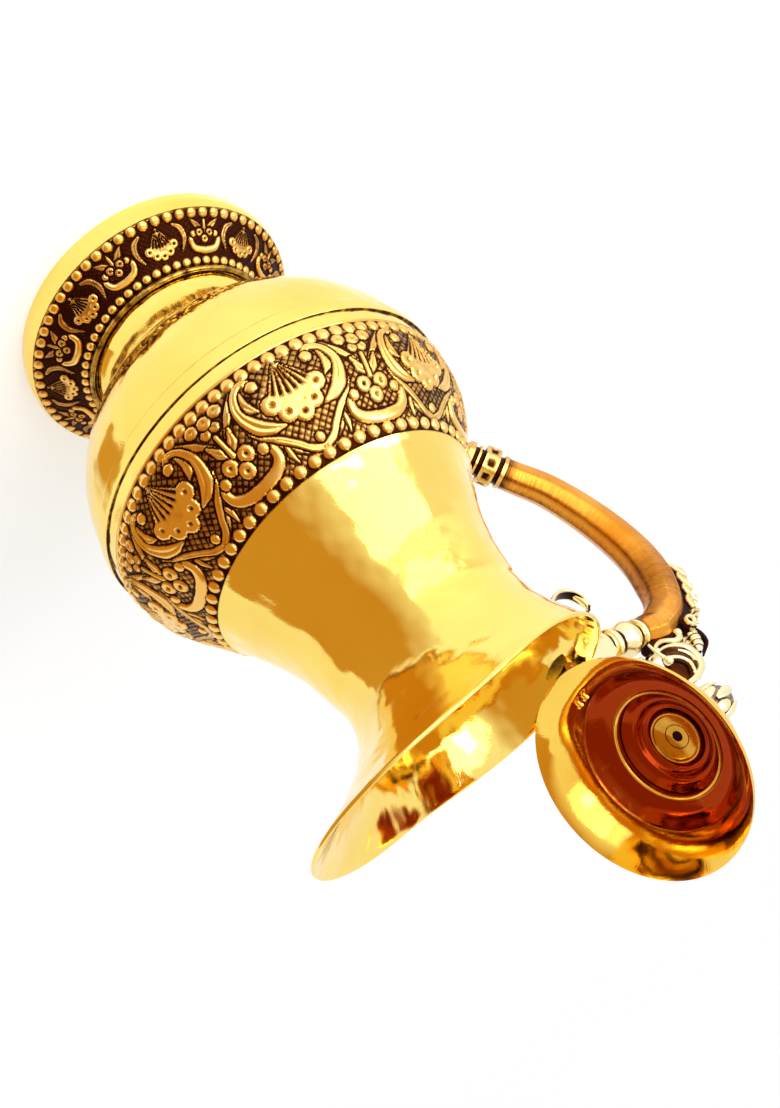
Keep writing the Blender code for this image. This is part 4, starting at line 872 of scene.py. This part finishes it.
LEAF_SPAN = (0.60, 0.90)      # stretch of the grip that the cast leaf covers
LEAF_ROWS, LEAF_COLUMNS = 150, 90
LEAF_HALF_WIDTH, LEAF_HEIGHT = 4.6, 4.6
LEAF_CORNER, LEAF_ROOT = 1.8, 2.6     # round of its edges, and how deep its sides reach round the grip
LEAF_RELIEF = 1.6
LEAF_REACH = 10.8             # from its midrib over the edge to its root
LEAF_STEP, LEAF_OUTLINE = 6.2, 0.7    # from lobe to lobe, and the dark round each
SHELL_X, SHELL_RIBS = -110.4, 5       # the ribbed shell above the leaf


def leaf_height(along, across, length):
    """The cast leaf's relief: veined lobes that fold over its edges, below a rosette on each side."""
    chased = Chasing(np.abs(across), along, LEAF_OUTLINE)
    for foot in np.arange(-1.0, length - 12.0, LEAF_STEP):
        lobe = ((0.7, 7.2), (3.2, 6.6), (5.6, 4.8), (7.4, 2.6), (7.8, 0.6))
        chased.line([(x, foot + y) for x, y in lobe], [0.8, 1.9, 2.1, 1.5, 0.6], 0.95, 0.75)
        chased.line([(0.0, foot), (0.0, foot + 5.6)], [0.5, 1.3, 0.4], 0.95, 0.3)
    middle = length - 3.4
    for points in ([(4.0, 2.2), (1.8, 1.0), (0.4, -1.8)], [(3.8, -1.6), (2.2, -3.4), (1.0, -6.0)],
                   [(6.2, -3.0), (5.4, -5.8), (4.0, -7.8)]):
        chased.line([(x, middle + y) for x, y in points], [0.8, 1.6, 0.4], 0.95, 0.8)
    loop = [(6.2 + 1.7 * math.sin(a), middle + 2.1 * math.cos(a)) for a in np.linspace(0, math.tau, 11)]
    chased.line(loop, [0.7], 1.0)
    return chased.result(0.0)


def make_leaf():
    """Acanthus leaf and rosettes up the grip's back, and the ribbed shell above them."""
    line = grip_line(400)
    share = np.linspace(0, 1, len(line))
    along = unit(np.gradient(line, axis=0))
    outward = np.stack([-along[:, 1], along[:, 0]], axis=1)
    back = line + outward * grip_radius(share)[:, None]
    places = np.linspace(*LEAF_SPAN, LEAF_ROWS)
    base = np.stack([np.interp(places, share, back[:, k]) for k in range(2)], axis=1)
    normal = unit(np.stack([np.interp(places, share, outward[:, k]) for k in range(2)], axis=1))
    steps = distances(base)
    taper = np.clip(np.minimum(steps / 12.0 + 0.25, (steps[-1] - steps) / 4.0 + 0.8), 0.0, 1.0)[:, None]
    wide, high, corner = LEAF_HALF_WIDTH * taper, LEAF_HEIGHT * taper, LEAF_CORNER * taper
    flat, bend = wide - corner, corner * math.pi / 2
    reach = np.linspace(-1, 1, LEAF_COLUMNS)[None, :]
    run = np.abs(reach) * (flat + bend + high - corner + LEAF_ROOT)
    turn = np.clip((run - flat) / corner, 0, math.pi / 2)
    height = leaf_height(steps[:, None] + 0 * run, reach * LEAF_REACH, steps[-1])
    raised = height * LEAF_RELIEF * taper
    lift = high - corner + (corner + raised) * np.cos(turn) - np.maximum(run - flat - bend, 0)
    side = np.minimum(run, flat) + (corner + raised) * np.sin(turn)
    shape = Shape()
    shape.grid(np.stack([base[:, :1] + normal[:, :1] * lift, np.sign(reach) * side,
                         base[:, 1:] + normal[:, 1:] * lift], axis=-1), values=height)
    # Ribbed shell, and the dark crest behind it
    stalk = curve([(SHELL_X - 0.8, 212.6), (SHELL_X - 0.2, 217.0), (SHELL_X + 1.0, 221.0),
                   (SHELL_X + 3.0, 224.4)], 20)
    rise = np.linspace(0, 1, len(stalk))
    rib = np.abs(np.sin(math.pi * SHELL_RIBS * rise)) ** 0.5
    swell = np.interp(rise, [0, 0.4, 0.75, 1], [0.9, 1.0, 0.85, 0.35]) * (0.8 + 0.2 * rib)
    shape.grid(ribbon(stalk, 6.6 * swell, 6.0 * swell, 0.9), values=np.clip(1.7 * rib - 0.5, 0, 1)[:, None])
    crest = curve([(SHELL_X - 2.0, 212.0), (SHELL_X - 4.6, 217.6), (SHELL_X - 3.6, 222.0),
                   (SHELL_X + 2.4, 226.2)], 8)
    shape.grid(ribbon(crest, [3.6, 4.2, 4.0, 1.0], [4.0, 3.0, 2.2, 0.6], 0.8), values=0.05)
    shape.make("acanthus", "handle_leaf", CAST, sharp=60)


STRAND_SIDE = 3.4             # of the thin scrolls, from the handle's plane
STRANDS = (
    # Inner curl of the scroll
    ([(-96.0, 228.8), (-97.3, 227.8), (-97.4, 225.6), (-96.2, 223.4), (-93.8, 221.6)],
     [1.3, 1.2, 0.9, 0.8, 0.5]),
    # Strand across the web
    ([(-92.4, 232.1), (-93.9, 228.5), (-93.1, 226.1), (-90.9, 224.3), (-86.8, 223.2)],
     [0.7, 0.9, 0.8, 0.8, 0.8]),
    # Scroll under it
    ([(-101.4, 214.8), (-100.0, 217.2), (-96.8, 217.6), (-93.4, 216.6), (-89.6, 216.1), (-85.4, 217.2),
      (-83.0, 219.6)], [1.5, 1.4, 1.0, 0.9, 0.9, 0.8, 0.4]),
    # Strand down to the arm
    ([(-85.2, 223.6), (-83.6, 219.6), (-83.0, 215.4)], [0.9, 0.7, 0.5]),
)
STRAND_ENDS = ((-85.2, 224.2, 1.9), (-101.3, 215.2, 1.8), (-84.4, 219.0, 1.2))


def make_volute():
    """The open scroll on top of the handle over a dark web, with thin scrolls on its sides."""
    shape = Shape()
    scroll = curve([(-86.6, 234.4), (-92.2, 233.6), (-98.8, 230.8), (-101.6, 226.2), (-100.4, 221.6),
                    (-96.8, 219.4), (-91.0, 218.4), (-86.0, 218.8)], 9)
    shape.grid(ribbon(scroll, [5.0, 6.4, 7.0, 7.0, 6.6, 6.4], [2.0, 3.0, 3.5, 3.5, 2.6, 1.6, 1.4]))
    # A near-black bed under the scroll: painted shade.
    shade_bed = curve([(-113.0, 209.8), (-105.0, 213.0), (-97.0, 214.8), (-90.0, 215.6), (-84.0, 215.6)], 8)
    shape.grid(ribbon(shade_bed, [5.0, 6.4, 6.4, 6.0, 5.0], [3.0, 4.6, 4.6, 4.4, 3.6], 0.8), values=0.04)
    for side in (-STRAND_SIDE, STRAND_SIDE):
        for points, radii in STRANDS:
            shape.tube([(x, side, z) for x, z in curve(points, 8)], radii, columns=12)
        for x, z, radius in STRAND_ENDS:
            shape.ball((x, side, z), radius)
    shape.make("volute", "handle_volute", CAST, sharp=60)
    web = Shape()
    web.ball((-94.0, 0.0, 226.2), 8.2, squash=(1, 0.26, 1), steps=14, values=-0.12)
    web.make("volute_web", "handle_volute", GRIP)


SPUR_REACH, SPUR_DROP = 26.0, 21.5


def make_spur():
    """The hooked leaf under the arm, beside the neck: a dark stem that ends in a pointed blade."""
    start_x, start_z = -51.3, ARM_Z - ARM_RADIUS - 0.3
    shares = [(0, 0), (0.05, 0.42), (0.30, 0.80), (0.62, 1.0), (0.90, 0.93), (1.0, 0.68), (0.92, 0.5)]
    line = curve([(start_x - SPUR_REACH * out, start_z - SPUR_DROP * down) for out, down in shares], 9)
    share = np.linspace(0, 1, len(line))
    shape = Shape()
    shape.grid(ribbon(line, [5.4, 5.0, 4.4, 4.0, 2.0], [1.4, 1.6, 1.8, 1.8, 0.6]), values=0.10)
    wide = np.interp(share, [0, 0.75, 1], [2.6, 2.0, 0.3])
    for side in (-1, 1):
        shape.tube([(x, side * y, z) for (x, z), y in zip(line, wide)], [0.5, 0.65, 0.75, 0.75, 0.3])
    blade = line[share > 0.6]
    vein = np.sin(math.pi * np.linspace(0, 1, len(blade)))
    shape.tube([(x, 0.0, z) for x, z in blade], [0.3, 1.5, 1.9, 1.4, 0.3], flat=0.8,
               values=np.clip(0.4 + 0.6 * vein, 0, 1)[:, None])
    shape.make("spur", "neck_spur", CAST, sharp=60)


def make_hinge():
    """The bracket, the leaf on the lid and the pin, with eased edges."""
    for name, node in (("bracket", "hinge_bracket"), ("lid_leaf", "lid_hinge_leaf"), ("pin", "hinge_pin")):
        make_copy(name, node, CAST, sharp=30.0, eased=0.25)


# Lid

def lid_flare(straight, start, count):
    """The lid's flare from its edge to its bell: round beside the hinge, straighter elsewhere."""
    brim = LID_RADIUS - LID_BELL
    turn = np.linspace(start, math.pi / 2, count)
    bow = np.stack([LID_RADIUS - brim * np.sin(turn), LID_BELL_HEIGHT * (1 - np.cos(turn))], axis=1)
    share = (turn / (math.pi / 2))[:, None]
    chord = np.array([LID_RADIUS, 0.0]) + share * np.array([-brim, LID_BELL_HEIGHT])
    return chord + (bow - chord) * (LID_FLARE_BOW if straight else 1.0)


def lid_inner(straight):
    """The lid's inside line from its edge to its top, with a rolled ring at its step and two low ribs."""
    flare = lid_flare(straight, 0.0, 22)
    bell = curve([(LID_BELL, LID_BELL_HEIGHT), LID_SHOULDER, (LID_STEP + 1.0, LID_STEP_HEIGHT - 0.2)], 8)
    roll = [(LID_ROLL + LID_ROLL_RADIUS * math.cos(a), LID_STEP_HEIGHT - 0.1 + LID_ROLL_RADIUS * math.sin(a))
            for a in np.linspace(0, -math.pi, 9)]
    cap = curve(LID_CAP, 24)
    for radius, width in ((14.2, 1.0), (10.8, 0.8)):
        cap[:, 1] -= 0.7 * hump(cap[:, 0], radius, width)
    return np.vstack([flare, bell[1:], roll, cap])


def make_lid():
    """The bell lid with its rounded edge and stepped inside."""
    bell = curve([(LID_BELL, LID_BELL_HEIGHT), LID_SHOULDER, (LID_STEP, LID_STEP_HEIGHT)], 8)
    hole = [(LID_HOLE, LID_TOP_HEIGHT), (LID_HOLE, LID_TOP_HEIGHT + LID_WALL)]
    edge = [(LID_RADIUS - 0.2, LID_WALL * 0.9), (LID_RADIUS + 0.02, LID_WALL * 0.5), (LID_RADIUS - 0.05, 0.1)]
    rings = []
    for straight in (False, True):
        inner = lid_inner(straight)
        outer = inward(np.vstack([lid_flare(straight, 0.12, 20), bell[1:], curve(LID_CAP, 8)]), -LID_WALL)
        outline = np.vstack([inner, hole, outer[::-1], edge])
        rings.append(turned(outline, LID_COLUMNS))
    turn = circle(LID_COLUMNS)
    beside_hinge = hump(turn, math.pi, 0.5)[None, :, None]
    # Darker deeper in the hollow under the bell: partly tarnish, partly painted shade.
    levels = [LID_BELL_HEIGHT - 1.2, LID_BELL_HEIGHT + 0.1, LID_STEP_HEIGHT, LID_TOP_HEIGHT]
    depth = np.interp(inner[:, 1], levels, [1.0, 0.02, -0.02, -0.04])
    values = np.r_[depth, np.ones(len(outline) - len(inner))][:, None] + 0 * turn
    # The rolled ring has a painted highlight on one side and painted shade on the other
    on_roll = np.flatnonzero(np.abs(inner[:, 0] - LID_ROLL) < LID_ROLL_RADIUS + 0.05)
    values[on_roll] = np.clip(0.62 + 0.6 * np.sin(turn), 0.15, 0.9)
    make_piece("lid_bell", "lid_shell", LID,
               rings[0] * beside_hinge + rings[1] * (1 - beside_hinge), values=values)


CUP_RADIUS, CUP_EDGE, NUT_RADIUS = 8.1, 0.6, 4.4     # the cup of washer and nut, the round of its edge


def make_lid_fixings():
    """The collar, the cupped washer and nut inside the lid, and the rivets of the hinge leaf."""
    top = LID_TOP_HEIGHT + LID_WALL + LID_GAP
    collar = [(LID_HOLE, top), (8.3, top), (8.6, top + 0.4), (8.6, top + 1.2), (8.2, top + 1.6),
              (6.4, top + 2.2), (5.6, top + COLLAR_HEIGHT), (LID_HOLE, top + COLLAR_HEIGHT)]
    under = LID_TOP_HEIGHT - LID_GAP
    lip = [(8.8 + CUP_EDGE * math.cos(a), under - 1.9 - CUP_EDGE * math.sin(a))
           for a in np.linspace(0, math.pi, 9)]
    cup = [(r, under - 0.4 - 1.4 * (r / CUP_RADIUS) ** 2) for r in np.linspace(CUP_RADIUS, 1.9, 18)]
    cup_rim = [point for point in cup if point[0] > NUT_RADIUS]
    cup_middle = [point for point in cup if point[0] < NUT_RADIUS]
    washer = [(2.3, under), (8.5, under), *lip, *cup_rim, (4.36, under - 0.2), (2.3, under - 0.2)]
    nut = [(2.1, under - 0.25), (4.3, under - 0.25), *cup_middle, (1.8, under - 0.3)]
    for name, node, outline in (("collar", "finial_collar", collar), ("washer", "finial_washer", washer),
                                ("boss_nut", "finial_nut", nut)):
        make_piece(name, node, LID, turned(outline, 72), values=0.4)
    for node in ("lid_rivet_left", "lid_rivet_right"):
        make_copy(node + "_head", node, LID, sharp=40.0)


FINIAL_LEAVES = 6
FINIAL_TIERS = ((11.5, 22.5, 7.5, 4.6), (17.0, 30.5, 7.4, 4.2))    # start, end, reach and width of leaves


def make_finial():
    """The bud on the lid, wrapped in two tiers of curling leaves."""
    foot = LID_TOP_HEIGHT + LID_WALL + LID_GAP + COLLAR_HEIGHT + LID_GAP
    line = curve([(5.1, 0.0), (4.6, 1.6), (3.4, 4.2), (3.4, 6.4), (4.6, 7.5), (4.8, 8.4), (4.4, 9.4),
                  (3.7, 10.4), (5.4, 13.2), (6.6, 17.4), (6.5, 22.4), (5.6, 26.6), (4.0, 29.8), (2.0, 32.2),
                  (0.3, 33.4)], 5)
    line[:, 1] += foot
    stud = [(0.2, 27.9), (1.9, 27.9), (2.0, 28.1), (2.0, foot)]
    shape = Shape()
    shape.grid(turned(np.vstack([stud, line]), 64),
               values=np.r_[np.full(len(stud), 0.05), np.full(len(line), 0.2)][:, None])
    for tier, (start, end, reach, width) in enumerate(FINIAL_TIERS):
        for k in range(FINIAL_LEAVES):
            angle = math.tau * (k + 0.5 * tier) / FINIAL_LEAVES
            rows = []
            for t in np.linspace(0, 1, 14):
                z = start + (end - start) * (t - 0.6 * max(t - 0.8, 0)) + foot
                base = np.interp(z, line[:, 1], line[:, 0])
                radius = min(base + 0.5 + 5.0 * max(t - 0.55, 0) ** 2, reach)
                rows.append((radius * math.cos(angle), radius * math.sin(angle), z))
            shape.tube(rows, [0.7, width * 0.42, width * 0.5, width * 0.36, 0.5], flat=0.45,
                       side=(-math.sin(angle), math.cos(angle), 0))
    shape.make("bud_finial", "lid_finial", CAST, sharp=60)


# Studio

ROOM_LIGHT = 0.7          # of the white room, on the object and the floor
FLOOR_REACH = 80.0
FLOOR_GLOW = 0.33         # what the floor shows above its lit level
LAMP_TARGET_Z, LAMP_DISTANCE = 0.12, 0.85
CARD_COLUMNS = 24


def make_floor():
    """A wide white floor that keeps the jug's shadow."""
    mesh = bpy.data.meshes.new("floor")
    corners = ((-1, -1), (1, -1), (1, 1), (-1, 1))
    mesh.from_pydata([(x * FLOOR_REACH, y * FLOOR_REACH, 0) for x, y in corners], [], [(0, 1, 2, 3)])
    material = bpy.data.materials.new("floor_white")
    nodes = Nodes(material)
    glow = nodes.span(nodes.seen_directly(), 0.0, 1.0, 0.0, FLOOR_GLOW)
    nodes.finish("Principled BSDF", [("Base Color", (*grey(0.82), 1.0)), ("Roughness", 1.0),
                                     ("Emission Color", (*grey(1.0), 1.0)), ("Emission Strength", glow)])
    mesh.materials.append(material)
    floor = link("floor", mesh)


def make_card(name, start, end, rows, colour):
    """A curved warm card, as rows of (radius, height), that only reflections show, soft at its start: it paints a
    darker patch into the metal's reflections.
    """
    angles = np.radians(np.linspace(start, end, CARD_COLUMNS))
    points = [(JUG_X + radius * math.cos(a), radius * math.sin(a), z) for radius, z in rows for a in angles]
    faces = []
    for row in range(len(rows) - 1):
        for k in range(row * CARD_COLUMNS, (row + 1) * CARD_COLUMNS - 1):
            faces.append((k, k + 1, k + CARD_COLUMNS + 1, k + CARD_COLUMNS))
    mesh = bpy.data.meshes.new(name)
    mesh.from_pydata(points, [], faces)
    store(mesh, "share", np.tile(np.linspace(0, 1, CARD_COLUMNS), len(rows)))
    material = bpy.data.materials.new(name)
    nodes = Nodes(material)
    fade = nodes.ramp(nodes.stored("share"), [(0.0, grey(1.0)), (0.3, colour)])
    light = nodes.add("ShaderNodeEmission", [("Color", fade), ("Strength", 1.0)])
    nodes.finish("Material Output", [("Surface", light)])
    mesh.materials.append(material)
    card = link(name, mesh)
    for ray in ("camera", "diffuse", "shadow", "transmission"):
        setattr(card, "visible_" + ray, False)


def make_light(name, kind, azimuth, elevation, energy, **settings):
    """A lamp that shines at the jug from a direction in degrees."""
    data = bpy.data.lights.new(name, kind)
    data.energy = energy
    for key, value in settings.items():
        setattr(data, key, value)
    lamp = link(name, data)
    a, e = math.radians(azimuth), math.radians(elevation)
    away = Vector((math.cos(a) * math.cos(e), math.sin(a) * math.cos(e), math.sin(e)))
    lamp.location = Vector((JUG_X, 0, LAMP_TARGET_Z)) + away * LAMP_DISTANCE
    lamp.rotation_euler = away.to_track_quat("Z", "Y").to_euler()


def make_world():
    """A plain room: even light on the object, white behind it and in its reflections."""
    world = bpy.data.worlds.new("studio")
    bpy.context.scene.world = world
    nodes = Nodes(world)
    light = nodes.span(nodes.seen_directly(), 0.0, 1.0, ROOM_LIGHT, 1.0)
    nodes.finish("Background", [("Color", (*grey(1.0), 1.0)), ("Strength", light)])


def make_camera():
    """The photograph's camera, which looks down at the jug and is rolled."""
    outward = Vector((math.cos(CAMERA_AZIMUTH), math.sin(CAMERA_AZIMUTH), 0))
    back = outward * math.cos(CAMERA_ELEVATION) + Vector((0, 0, math.sin(CAMERA_ELEVATION)))
    right = Vector((-outward.y, outward.x, 0))
    axes = Matrix((right, back.cross(right), -back))
    pan = Matrix.Rotation(-CAMERA_PAN, 3, "Y")
    tilt = Matrix.Rotation(CAMERA_TILT, 3, "X")
    roll = Matrix.Rotation(CAMERA_ROLL, 3, "Z")
    axes = roll @ tilt @ pan @ axes
    facing = Matrix((axes[0], axes[1], -axes[2])).transposed()
    data = bpy.data.cameras.new("camera")
    data.lens = CAMERA_LENS
    data.sensor_width = CAMERA_SENSOR
    data.clip_start = 0.01
    camera = link("camera", data)
    place = Vector((JUG_X / MM, 0, CAMERA_TARGET_Z)) + back * CAMERA_DISTANCE
    camera.matrix_world = Matrix.Translation(place * MM) @ facing.to_4x4()
    bpy.context.scene.camera = camera


make_band()
make_neck()
make_bowl()
make_foot()
make_ferrule()
make_grip()
make_arm()
make_leaf()
make_volute()
make_spur()
make_hinge()
make_lid()
make_lid_fixings()
make_finial()
make_floor()
# Painted reflection: stands for the darker room in front of the jug, seen only in the metal.
make_card("room_reflection_card", start=-58, end=36, rows=[(0.078, 0.10), (0.22, 0.10), (0.22, 1.0)],
          colour=(0.62, 0.34, 0.07))
# Painted shadow, seen only in reflections: the shadowed floor beside the jug, as the bowl and foot reflect it.
make_card("floor_shadow_reflection", start=42, end=8, rows=[(0.095, 0.001), (0.19, 0.001)], colour=(0.66, 0.38, 0.09))
make_light("window", "AREA", azimuth=-88, elevation=20, energy=4.4, shape="RECTANGLE", size=1.1, size_y=0.8)
make_light("highlight", "AREA", azimuth=-83, elevation=31, energy=0.6, shape="RECTANGLE", size=0.24,
           size_y=0.2)
make_light("sky", "SUN", azimuth=-124, elevation=32, energy=0.5, angle=math.radians(24))
make_world()
make_camera()
bpy.context.scene.view_settings.view_transform = "Standard"
